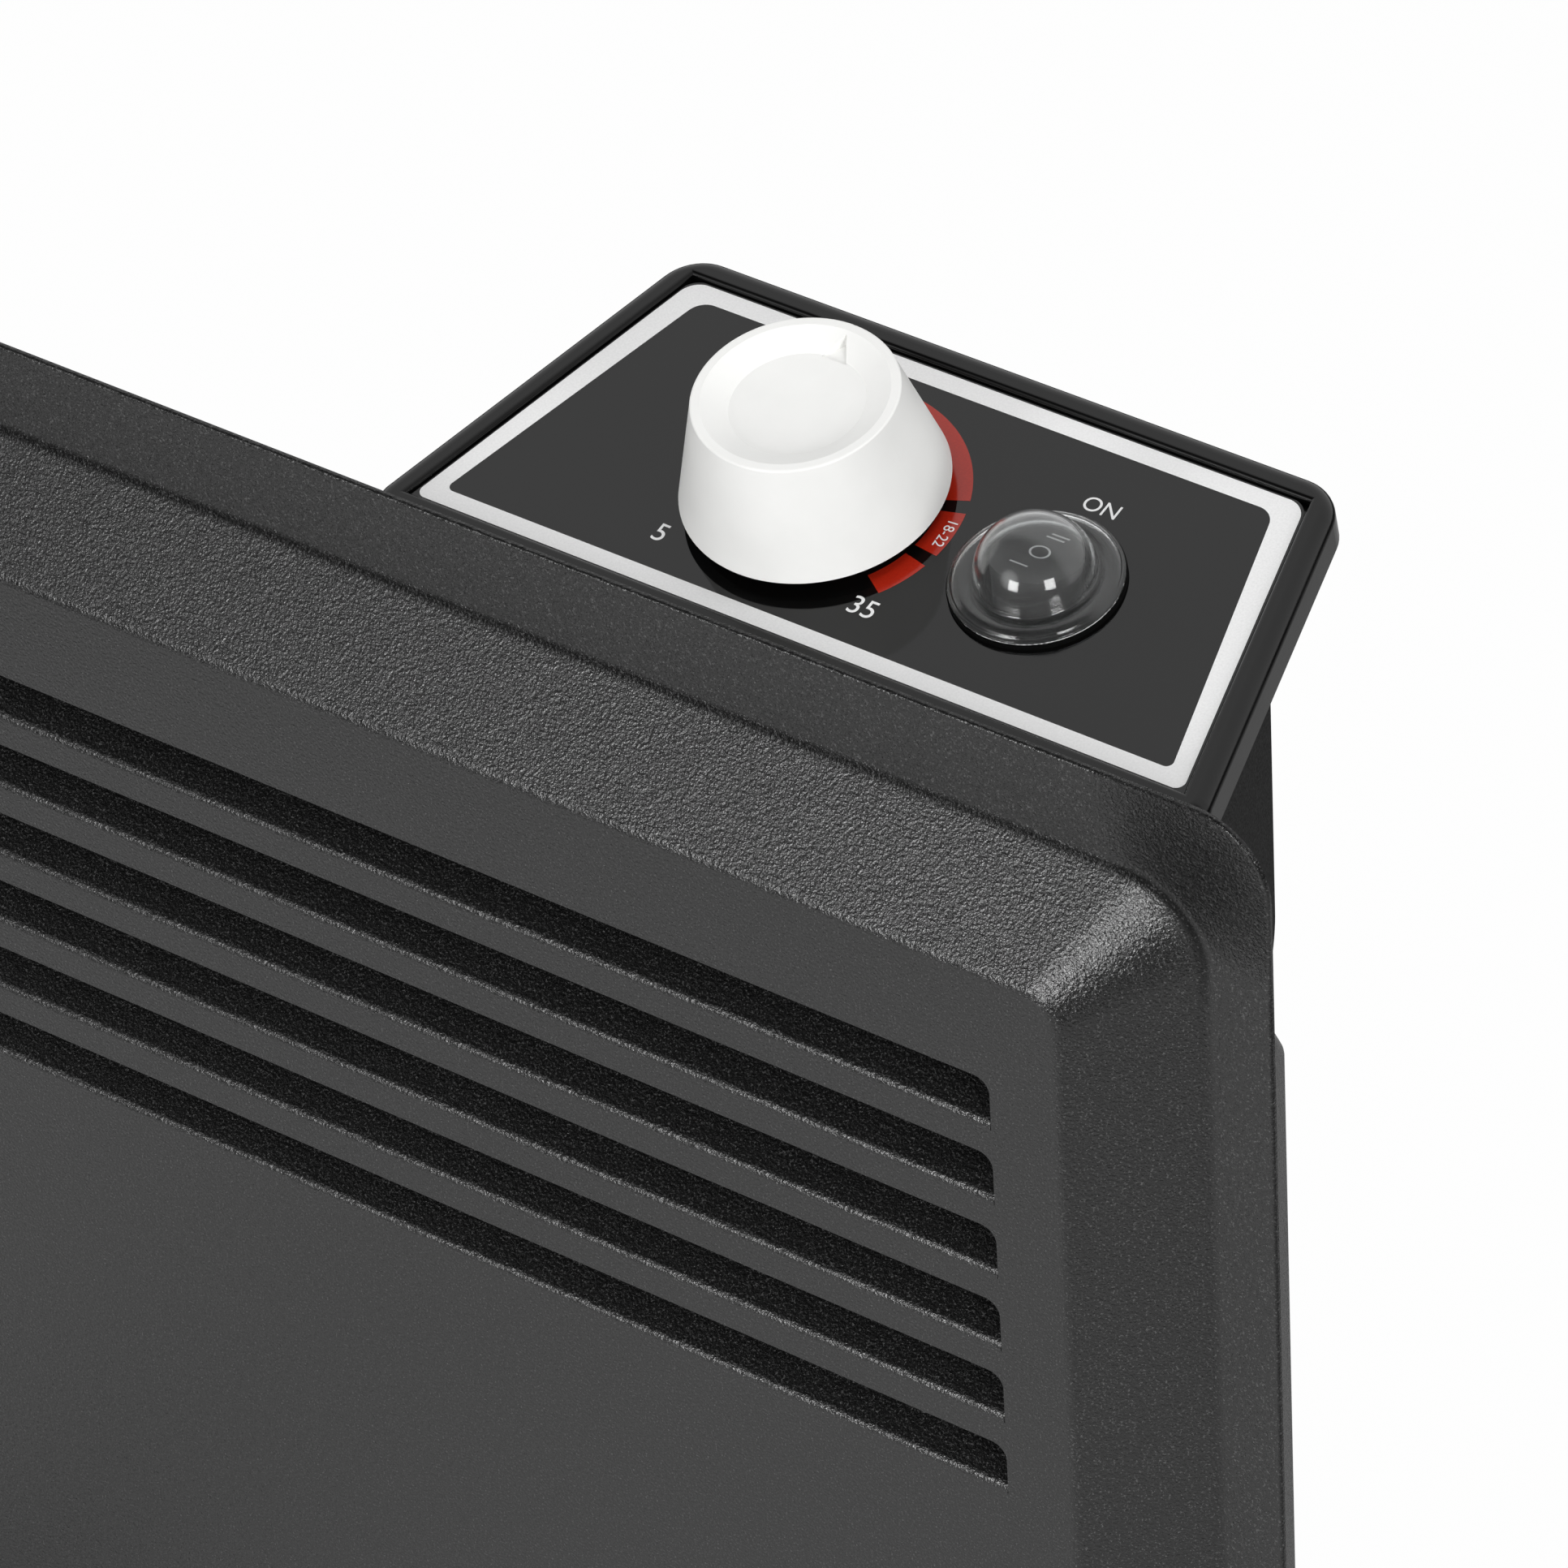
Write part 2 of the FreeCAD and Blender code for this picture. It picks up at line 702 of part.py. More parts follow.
# Panel studs and nuts: welded to the flange's back and passed through the lip.
stud_rows = [panel_low + size("flange_top") / 2 + size("lip_margin") / 2,
             panel_low + size("panel_height") / 2,
             panel_top - size("flange_top") / 2 - size("lip_margin") / 2]
stud_edge = half_width - size("flange_side") / 2 - size("lip_margin") / 4
stud_reach = half_width - size("stud_inset")
stud_spots = [(stud_edge * -1, stud_rows[1]), (stud_edge, stud_rows[1]),
              (stud_reach * -1, stud_rows[0]), (Size(0.0, "0"), stud_rows[0]),
              (stud_reach, stud_rows[0]),
              (stud_reach * -1, stud_rows[2]), (Size(0.0, "0"), stud_rows[2])]
studs = []
stud_holes = []
nuts = []
for spot_x, spot_z in stud_spots:
    studs.append(cylinder("stud", (spot_x, flange_back, spot_z), size("stud_radius"), size("stud_length"),
                          (1, 0, 0), -90.0))
    stud_holes.append(cylinder("stud_hole", (spot_x, flange_back - gauge, spot_z),
                               size("stud_radius") + fit_gap, gauge * 2 + case_gauge * 2, (1, 0, 0), -90.0))
    nut_bar = prism("nut_bar", (spot_x, flange_back + case_gauge, spot_z), size("nut_flats"),
                    size("nut_thick"), (1, 0, 0), -90.0)
    nut_hole = cylinder("nut_hole", (spot_x, flange_back, spot_z), size("stud_radius") + 0.05,
                        size("stud_length") * 2, (1, 0, 0), -90.0)
    nuts.append(cut("nut", nut_bar, [nut_hole]))
panel_studs = group("panel_studs", studs)
panel_nuts = group("panel_nuts", nuts)

# Openings of the rear case: air inlets in the floor, keyholes in the back, holes for the fastenings.
inlets = []
for index in range(int(number_of(size("inlet_count")))):
    offset = index - (number_of(size("inlet_count")) - 1) / 2
    inlets.append(box("inlet", (size("inlet_pitch") * offset - size("inlet_width") / 2,
                                flange_y + size("case_depth") / 2 - size("inlet_depth") / 2,
                                case_floor - case_gauge),
                      (size("inlet_width"), size("inlet_depth"), case_gauge * 3)))
keyholes = []
for side in (-1, 1):
    key_x = size("keyhole_spread") / 2 * side
    key_z = panel_low + size("keyhole_height")
    keyholes.append(cylinder("keyhole_head", (key_x, case_inner_back - case_gauge, key_z),
                             size("keyhole_head"), case_gauge * 3, (1, 0, 0), -90.0))
    keyholes.append(box("keyhole_slot", (key_x - size("keyhole_neck"), case_inner_back - case_gauge, key_z),
                        (size("keyhole_neck") * 2, case_gauge * 3, size("keyhole_rise"))))
    keyholes.append(cylinder("keyhole_end", (key_x, case_inner_back - case_gauge, key_z + size("keyhole_rise")),
                             size("keyhole_neck"), case_gauge * 3, (1, 0, 0), -90.0))
gland_spot = ((case_half_back - size("gland_inset")) * -1, case_back, panel_low + size("case_base") + size("gland_rise"))
gland_hole = cylinder("gland_hole", (gland_spot[0], case_inner_back - case_gauge, gland_spot[2]),
                      size("gland_radius") + fit_gap, case_gauge * 3, (1, 0, 0), -90.0)

# Floor feet: a moulded bar under each end, its post screwed up into the case floor.
foot_low_z = size("pad_thick")
post_y = flange_back + case_gauge + size("foot_post_front")
foot_screw_y = [post_y + size("foot_post") / 2 - size("foot_screw_pitch") / 2,
                post_y + size("foot_post") / 2 + size("foot_screw_pitch") / 2]
feet = []
foot_screw_parts = []
foot_nut_parts = []
foot_pad_parts = []
foot_floor_holes = []
head_level = case_floor - size("foot_web") - size("screw_head_thick")
for side, name in ((-1, "foot_left"), (1, "foot_right")):
    foot_x = (half_width - size("foot_inset")) * side
    foot = body(name + "_bar")
    place(foot, (foot_x, 0, 0))
    toe = size("foot_length") / 2
    bar_top = foot_low_z + size("foot_bar")
    outline = [(-toe, foot_low_z), (toe, foot_low_z), (toe, foot_low_z + size("foot_toe")),
               (post_y + size("foot_post") + size("foot_bar"), bar_top),
               (post_y + size("foot_post"), bar_top), (post_y + size("foot_post"), case_floor),
               (post_y, case_floor), (post_y, bar_top), (post_y - size("foot_bar"), bar_top),
               (-toe, foot_low_z + size("foot_toe"))]
    bar = pad(foot, polygon(foot, "YZ_Plane", outline), size("foot_width"), middle=True)
    toe_edges = upright_edges(bar, [(toe, foot_low_z + size("foot_toe")), (-toe, foot_low_z + size("foot_toe"))],
                              "x")
    fillet(foot, bar, toe_edges, size("foot_round"))
    wells = []
    for screw_y in foot_screw_y:
        spot = (foot_x, screw_y)
        wells.append(cylinder("screw_well", (*spot, foot_low_z - 1), size("screw_head") + fit_gap * 2,
                              case_floor - size("foot_web") - foot_low_z + 1))
        wells.append(cylinder("screw_way", (*spot, foot_low_z), size("foot_screw") + fit_gap, case_floor))
        head = cylinder("screw_head", (*spot, head_level), size("screw_head"), size("screw_head_thick"))
        shank = cylinder("screw_shank", (*spot, head_level), size("foot_screw"),
                         size("screw_head_thick") + size("foot_web") + case_gauge + size("nut_thick") + 1)
        foot_screw_parts.append(fuse("foot_screw_one", [head, shank]))
        foot_floor_holes.append(cylinder("foot_hole", (*spot, case_floor - 1), size("foot_screw") + fit_gap,
                                         case_gauge + 2))
        nut_bar = prism("foot_nut_bar", (*spot, case_inner_floor), size("nut_flats"), size("nut_thick"))
        nut_way = cylinder("foot_nut_way", (*spot, case_floor), size("foot_screw") + 0.05, size("nut_thick") * 3)
        foot_nut_parts.append(cut("foot_nut_one", nut_bar, [nut_way]))
    for end in (-1, 1):
        middle_y = (toe - size("pad_margin") - size("pad_length") / 2) * end
        foot_pad_parts.append(box("foot_pad_one", (foot_x - size("foot_width") / 2 + size("pad_margin"),
                                                   middle_y - size("pad_length") / 2, 0.0),
                                  (size("foot_width") - size("pad_margin") * 2, size("pad_length"),
                                   size("pad_thick"))))
    feet.append(cut(name, foot, wells))
foot_screws = group("foot_screws", foot_screw_parts)
foot_nuts = group("foot_nuts", foot_nut_parts)
foot_pads = group("foot_pads", foot_pad_parts)

# Control unit: everything on the tilted fascia is measured across, back and up from the fascia's front line.
tilt = size("control_tilt")
fascia_base = (control_x, flange_y + size("fascia_setback"), panel_top - size("fascia_drop"))


def fascia(across, back, up):
    return (fascia_base[0] + across,
            fascia_base[1] + back * cosine(tilt) - up * sine(tilt),
            fascia_base[2] + back * sine(tilt) + up * cosine(tilt))


def on_fascia(name, across, back, up):
    host = body(name)
    place(host, fascia(across, back, up), (1, 0, 0), tilt)
    return host


def fascia_rod(name, across, back, up, radius, height):
    return cylinder(name, fascia(across, back, up), radius, height, (1, 0, 0), tilt)


depth = size("overlay_depth")
half_front = size("overlay_front") / 2
half_back = size("overlay_back") / 2
flare = (half_front - half_back) / depth


def trapezoid(grow):
    """The fascia's outline, moved out by a margin."""
    low = -grow
    high = depth + grow
    near = half_front + flare * grow + grow
    far = half_back - flare * grow + grow
    return [(-near, low), (near, low), (far, high), (-far, high)]


knob_spot = (size("knob_across"), size("knob_back"))
switch_spot = (size("switch_across"), size("switch_back"))
bush_way = size("bush_radius") + fit_gap
barrel_way = size("switch_barrel") + fit_gap
plate_top = -size("overlay_thick")
plate_low = plate_top - size("bezel_plate")

# Control bezel: gloss moulded frame with a raised rim round the overlay and a short skirt below.
bezel = on_fascia("control_bezel", zero, zero, zero)
rim_line = trapezoid(size("bezel_rim"))
bezel_low = size("bezel_rise") - size("bezel_height")
bezel_block = pad(bezel, polygon(bezel, "XY_Plane", rim_line, bezel_low), size("bezel_height"))
DOC.recompute()
bezel_round = fillet(bezel, bezel_block, upright_edges(bezel_block, rim_line[2:]), size("bezel_corner"))
bezel_round = fillet(bezel, bezel_round, upright_edges(bezel_round, rim_line[:2]), size("overlay_corner"))
bezel_edge = fillet(bezel, bezel_round, level_edges(bezel_round, size("bezel_rise")), size("bezel_edge"))
seat_line = trapezoid(size("overlay_gap"))
seat = pocket(bezel, polygon(bezel, "XY_Plane", seat_line, size("bezel_rise")),
              size("bezel_rise") + size("overlay_thick"))
DOC.recompute()
seat_edges = []
for name in level_edges(seat, size("bezel_rise")):
    reach = seat.Shape.getElement(name).BoundBox
    near = number_of(seat_line[1][0]) + 0.02
    if reach.XMax < near and reach.XMin > -near and reach.YMin > number_of(seat_line[0][1]) - 0.02 \
            and reach.YMax < number_of(seat_line[2][1]) + 0.02:
        seat_edges.append(name)
seat = fillet(bezel, seat, seat_edges, size("bezel_inner_edge"))
under_line = trapezoid(size("bezel_rim") - size("bezel_skirt"))
under = pocket(bezel, polygon(bezel, "XY_Plane", under_line, bezel_low), plate_low - bezel_low, back=True)
ways = pocket(bezel, ring_sketch(bezel, "XY_Plane", [(knob_spot, bush_way), (switch_spot, barrel_way)], plate_top),
              size("bezel_plate"))
screw_offset = size("thermostat_spread") / 2
screw_spots = [(knob_spot[0] - screw_offset, knob_spot[1]), (knob_spot[0] + screw_offset, knob_spot[1])]
screw_ways = pocket(bezel, ring_sketch(bezel, "XY_Plane",
                                       [(spot, size("thermostat_screw") + fit_gap) for spot in screw_spots],
                                       plate_top), size("bezel_plate"))

# Control overlay: printed gloss sheet laid in the bezel.
overlay = on_fascia("control_overlay", zero, zero, plate_top)
overlay_line = trapezoid(zero)
overlay_sheet = pad(overlay, polygon(overlay, "XY_Plane", overlay_line), size("overlay_thick"))
DOC.recompute()
overlay_round = fillet(overlay, overlay_sheet, upright_edges(overlay_sheet, overlay_line[2:]), size("overlay_corner"))
screw_pan = size("thermostat_screw") * 2 + fit_gap
overlay_ways = pocket(overlay, ring_sketch(overlay, "XY_Plane", [(knob_spot, bush_way), (switch_spot, barrel_way)]
                                           + [(spot, screw_pan) for spot in screw_spots]),
                      size("overlay_thick"), back=True)

# Control housing: moulded tub on the case roof, open at the top under the bezel.
housing_y = (flange_y + size("housing_front"), flange_y + size("housing_back"))


def tub(name, shrink, floor_gap):
    """The tub's outer block, or its hollow when drawn in by the wall."""
    host = body(name)
    place(host, (control_x, 0, 0))
    near = housing_y[0] + shrink
    far = housing_y[1] - shrink
    top = panel_top + size("overlay_depth")
    profile = [(near, roof(near) + floor_gap), (far, roof(far) + floor_gap), (far, top), (near, top)]
    block = pad(host, polygon(host, "YZ_Plane", profile), (size("housing_half_front") - shrink) * 2, middle=True)
    DOC.recompute()
    heel = fillet(host, block, upright_edges(block, [profile[1]], "x"), size("housing_heel"))
    taper = (size("housing_half_front") - size("housing_half_back")) / (housing_y[1] - housing_y[0])
    for side in (-1, 1):
        wide = size("housing_half_front") + size("bezel_rim")
        start = size("housing_half_front") - shrink - taper * (near - housing_y[0])
        stop = size("housing_half_front") - shrink - taper * (far + shrink * 2 - housing_y[0])
        corners = [(start * side, near - shrink), (wide * side, near - shrink), (wide * side, far + shrink * 2),
                   (stop * side, far + shrink * 2)]
        if side > 0:
            corners = corners[::-1]
        wedge = pocket(host, polygon(host, "XY_Plane", corners), top * 2, middle=True)
    return host


tub_outer = tub("tub_outer", zero, zero)
tub_inner = tub("tub_inner", size("housing_wall"), size("housing_wall") * roof_length)
lid_reach = size("overlay_front") + size("overlay_depth")
tub_lid = box("tub_lid", fascia(-lid_reach, -lid_reach, plate_low),
              (lid_reach * 2, lid_reach * 2, lid_reach), (1, 0, 0), tilt)



def roof_point(x, y, lift):
    """A point above the case roof's outer face, measured square to it."""
    return (x, y + roof_fall * lift / roof_length, roof(y) + lift / roof_length)


def roof_rod(name, x, y, lift, radius, height):
    return cylinder(name, roof_point(x, y, lift), radius, height, (1, 0, 0), arctangent(roof_fall) * -1)


# Wire grommet: rubber, through the tub's floor and the case roof.
wire_x = control_x + knob_spot[0] - size("thermostat_side")
wire_y = flange_y + size("case_depth") / 2
tub_wall = size("housing_wall")
bore = size("grommet_radius")
lip_radius = bore + size("grommet_lip") * 2
neck_radius = bore + size("grommet_lip") - fit_gap
grommet_neck = roof_rod("grommet_neck", wire_x, wire_y, -case_gauge - size("grommet_lip"), neck_radius,
                        case_gauge + tub_wall + size("grommet_lip") * 2)
grommet_top = roof_rod("grommet_top", wire_x, wire_y, tub_wall, lip_radius, size("grommet_lip"))
grommet_low = roof_rod("grommet_low", wire_x, wire_y, -case_gauge - size("grommet_lip"), lip_radius,
                       size("grommet_lip"))
grommet_bore = roof_rod("grommet_bore", wire_x, wire_y, -lip_radius, bore, lip_radius * 3)
grommet = cut("wire_grommet", fuse("grommet_solid", [grommet_neck, grommet_top, grommet_low]), [grommet_bore])
wire_hole = roof_rod("wire_hole", wire_x, wire_y, -case_gauge * 2, bore + size("grommet_lip"),
                     case_gauge * 2 + tub_wall * 2)

# Housing screws: hold the tub down on the case roof.
housing_screw_y = flange_y + size("housing_back") - size("tub_screw_back")
housing_screw_parts = []
tub_screw_holes = []
for side in (-1, 1):
    screw_x = control_x + size("tub_screw_spread") / 2 * side
    head = roof_rod("tub_screw_head", screw_x, housing_screw_y, tub_wall, size("screw_head"),
                    size("screw_head_thick"))
    shank = roof_rod("tub_screw_shank", screw_x, housing_screw_y, -case_gauge - tub_wall * 2,
                     size("foot_screw"), case_gauge + tub_wall * 4)
    housing_screw_parts.append(fuse("tub_screw", [head, shank]))
    tub_screw_holes.append(roof_rod("tub_screw_hole", screw_x, housing_screw_y, -case_gauge * 3,
                                    size("foot_screw") + fit_gap, case_gauge * 3 + tub_wall * 2))
housing_screws = group("housing_screws", housing_screw_parts)
housing = cut("control_housing", tub_outer, [tub_inner, tub_lid, wire_hole] + tub_screw_holes)

# Thermostat: moulded body under the bezel plate, its bush through the plate, its turning shaft, two screws.
stat_half = size("thermostat_side") / 2
stat_box = box("stat_box", fascia(knob_spot[0] - stat_half, knob_spot[1] - stat_half,
                                  plate_low - size("thermostat_depth")),
               (size("thermostat_side"), size("thermostat_side"), size("thermostat_depth")), (1, 0, 0), tilt)
bush_top = size("bush_rise")
stat_bush = fascia_rod("stat_bush", *knob_spot, plate_low - 1, size("bush_radius"), bush_top - plate_low + 1)
shaft_low = plate_low - size("shaft_sink")
stat_bore = fascia_rod("stat_bore", *knob_spot, shaft_low, size("shaft_radius") + size("shaft_gap"),
                       bush_top - shaft_low + 1)
screw_long = size("thermostat_screw") * 4
stat_screw_holes = []
stat_screw_parts = []
for spot in screw_spots:
    stat_screw_holes.append(fascia_rod("stat_screw_hole", *spot, plate_top - screw_long,
                                       size("thermostat_screw") + 0.05, screw_long))
    head = fascia_rod("stat_screw_head", *spot, plate_top, size("thermostat_screw") * 2, size("thermostat_screw"))
    shank = fascia_rod("stat_screw_shank", *spot, plate_top - screw_long, size("thermostat_screw"), screw_long)
    stat_screw_parts.append(fuse("stat_screw", [head, shank]))
thermostat = cut("thermostat_body", fuse("stat_solid", [stat_box, stat_bush]), [stat_bore] + stat_screw_holes)
thermostat_screws = group("thermostat_screws", stat_screw_parts)
knob_low = size("knob_lift")
hub_low = knob_low + size("hub_rise")
shaft_top = hub_low + size("shaft_grip")
thermostat_shaft = fascia_rod("thermostat_shaft", *knob_spot, shaft_low, size("shaft_radius"), shaft_top - shaft_low)

# Thermostat knob: a hollow cone with a dished top, a pointer notch and a hub on the shaft.
knob = on_fascia("thermostat_knob", *knob_spot, zero)
knob_peak = knob_low + size("knob_height")
disc_level = knob_peak - size("knob_dish")
roof_level = disc_level - size("knob_wall")
cone = (size("knob_base") - size("knob_top")) / size("knob_height")
shell_top = size("knob_base") - cone * (roof_level - knob_low) - size("knob_wall")
knob_line = [(zero, disc_level), (size("knob_disc"), disc_level),
             (size("knob_top") - size("knob_land"), knob_peak), (size("knob_top"), knob_peak),
             (size("knob_base"), knob_low), (size("knob_base") - size("knob_wall"), knob_low),
             (shell_top, roof_level), (size("knob_hub"), roof_level), (size("knob_hub"), hub_low),
             (size("shaft_radius") + size("shaft_gap"), hub_low), (size("shaft_radius") + size("shaft_gap"), shaft_top),
             (zero, shaft_top)]
knob_turned = revolve(knob, polygon(knob, "XZ_Plane", knob_line))
DOC.recompute()
rim_edges = []
for index, edge in enumerate(knob_turned.Shape.Edges, start=1):
    level = all(abs(v.Z - number_of(knob_peak)) < 0.01 for v in edge.Vertexes)
    if level and abs(edge.BoundBox.XMax - SIZES["knob_top"]) < 0.01:
        rim_edges.append(f"Edge{index}")
knob_rim = fillet(knob, knob_turned, rim_edges, size("knob_rim"))
pointer_root = size("knob_disc") - size("pointer_sink")
pointer_tip = size("knob_top") - size("knob_land") - size("pointer_gap")
pointer = pocket(knob, polygon(knob, "XY_Plane", [(-size("pointer_half"), pointer_root),
                                                  (size("pointer_half"), pointer_root), (zero, pointer_tip)],
                               knob_peak), size("knob_dish") + size("pointer_sink") / 2)

# Rocker switch: moulded body in the bezel, tilting rocker on two stub pins, clear hood on its ring.
ring_top = size("switch_ring_thick")
barrel_low = ring_top - size("switch_length")
switch_ring = fascia_rod("switch_ring", *switch_spot, zero, size("switch_ring"), ring_top)
switch_barrel = fascia_rod("switch_barrel", *switch_spot, barrel_low, size("switch_barrel"), size("switch_length"))
switch_cavity = fascia_rod("switch_cavity", *switch_spot, ring_top - size("switch_cavity_deep"),
                           size("switch_cavity"), size("switch_cavity_deep") + 1)
pivot = -size("pivot_drop")
pin_way = cylinder("pin_way", fascia(switch_spot[0] - size("switch_barrel") - 1, switch_spot[1], pivot),
                   size("pin_radius") + size("shaft_gap"), size("switch_barrel") * 2 + 2, (0, 1, 0), 90.0)
blade_slots = []
for offset in (-1, 0, 1):
    blade_slots.append(box("switch_blade", fascia(switch_spot[0] - size("blade_half"),
                                                  switch_spot[1] + size("blade_pitch") * offset,
                                                  barrel_low - size("blade_long")),
                           (size("blade_half") * 2, size("blade_gauge"), size("blade_long") + 1), (1, 0, 0), tilt))
switch_body = cut("switch_body", fuse("switch_solid", [switch_ring, switch_barrel]), [switch_cavity, pin_way])
switch_blades = group("switch_blades", [cut("switch_blade_one", blade, [switch_barrel]) for blade in blade_slots])
# at rest the rocker lies pressed down at its back end
rocker_pivot = fascia(*switch_spot, pivot)
rocker_lean = tilt - size("rocker_rest")
rocker_block = body("rocker_block")
place(rocker_block, rocker_pivot, (1, 0, 0), rocker_lean)
rocker_low = -size("rocker_sink")
rocker_high = size("rocker_thick") - size("rocker_sink")
reach = size("rocker_radius")
rocker_pad = pad(rocker_block, polygon(rocker_block, "YZ_Plane", [(-reach, rocker_low), (reach, rocker_low),
                                                                  (reach, rocker_high + size("rocker_hollow")),
                                                                  (zero, rocker_high),
                                                                  (-reach, rocker_high + size("rocker_hollow"))]),
                 reach * 2, middle=True)
rocker_foot = (rocker_pivot[0], rocker_pivot[1] - rocker_low * sine(rocker_lean),
               rocker_pivot[2] + rocker_low * cosine(rocker_lean))
rocker_round = cylinder("rocker_round", rocker_foot, reach, size("rocker_thick") + size("rocker_hollow") * 2,
                        (1, 0, 0), rocker_lean)
rocker_core = DOC.addObject("Part::Common", "rocker_core")
rocker_core.Base = rocker_block
rocker_core.Tool = rocker_round
pin_half = size("switch_barrel") - fit_gap
rocker_pin = cylinder("rocker_pin", fascia(switch_spot[0] - pin_half, switch_spot[1], pivot),
                      size("pin_radius"), pin_half * 2, (0, 1, 0), 90.0)
rocker = fuse("switch_rocker", [rocker_core, rocker_pin])
hood = on_fascia("switch_hood", *switch_spot, zero)
rim_top = ring_top + size("hood_rim_thick")
spring = rim_top + size("hood_spring")
crown = spring + size("hood_crown")
hood_inner = size("hood_dome") - size("hood_wall")
hood_line = [(size("hood_dome"), spring), (size("hood_dome"), rim_top), (size("hood_rim"), rim_top),
             (size("hood_rim"), ring_top), (hood_inner, ring_top), (hood_inner, spring)]
hood_drawing = sketch(hood, "XZ_Plane")
hood_corners = [FreeCAD.Vector(number_of(p[0]), number_of(p[1]), 0) for p in hood_line]
for index in range(5):
    hood_drawing.addGeometry(Part.LineSegment(hood_corners[index], hood_corners[index + 1]))
peaks = [(zero, crown), (zero, crown - size("hood_wall"))]
for corner, peak in ((hood_line[0], peaks[0]), (hood_line[5], peaks[1])):
    reach_r = number_of(corner[0])
    reach_h = number_of(peak[1]) - number_of(corner[1])
    bow = (reach_r ** 2 + reach_h ** 2) / (2 * reach_h)
    middle = FreeCAD.Vector(0, number_of(peak[1]) - bow, 0)
    start = math.atan2(number_of(corner[1]) - middle.y, reach_r)
    circle = Part.Circle(middle, FreeCAD.Vector(0, 0, 1), bow)
    hood_drawing.addGeometry(Part.ArcOfCircle(circle, start, math.pi / 2))
hood_drawing.addGeometry(Part.LineSegment(*[FreeCAD.Vector(0, number_of(p[1]), 0) for p in peaks]))
for index in range(4):
    hood_drawing.addConstraint(Sketcher.Constraint("Coincident", index, 2, index + 1, 1))
for first, spot, last, end in ((5, 1, 0, 1), (6, 1, 4, 2), (5, 2, 7, 1), (6, 2, 7, 2)):
    hood_drawing.addConstraint(Sketcher.Constraint("Coincident", first, spot, last, end))
for index in range(5):
    pin_point(hood_drawing, index, 1, hood_line[index])
pin_point(hood_drawing, 4, 2, hood_line[5])
pin_point(hood_drawing, 7, 1, peaks[0])
pin_point(hood_drawing, 7, 2, peaks[1])
for index in (5, 6):
    hood_drawing.addConstraint(Sketcher.Constraint("DistanceX", -1, 1, index, 3, 0.0))
revolve(hood, hood_drawing)

# Heating element: steel core rod in a finned aluminium bar, held at each end by a bush in a bracket.
element_y = flange_y + size("element_setback")
element_z = case_floor + size("element_height")


def cross_rod(name, start, y, z, radius, length):
    return cylinder(name, (start, y, z), radius, length, (0, 1, 0), 90.0)


bracket_half = case_half_back - size("bracket_margin")
core_half = bracket_half + size("core_tail")
fin_half = bracket_half - size("fin_margin")
hub = cross_rod("fin_hub", -fin_half, element_y, element_z, size("fin_hub"), fin_half * 2)
vanes = []
for angle in (45.0, 135.0):
    turn = math.radians(angle)
    across = size("fin_reach")
    thin = size("fin_thick") / 2
    corner = (-fin_half, element_y - across * math.cos(turn) + thin * math.sin(turn),
              element_z - across * math.sin(turn) - thin * math.cos(turn))
    vanes.append(box("fin_vane", corner, (fin_half * 2, across * 2, size("fin_thick")), (1, 0, 0), angle))
core_way = cross_rod("core_way", -fin_half - 1, element_y, element_z, size("core_radius") + size("bush_bore_gap"),
                     fin_half * 2 + 2)
heating_fins = cut("heating_fins", fuse("fin_solid", [hub] + vanes), [core_way])
heating_core = cross_rod("heating_core", core_half * -1, element_y, element_z, size("core_radius"), core_half * 2)
bracket_tall = size("bracket_width")
sheet = size("bracket_gauge")
neck = size("bush_collar") - size("bush_step")
bracket_nodes = []
bush_parts = []
rivet_parts = []
rivet_holes = []
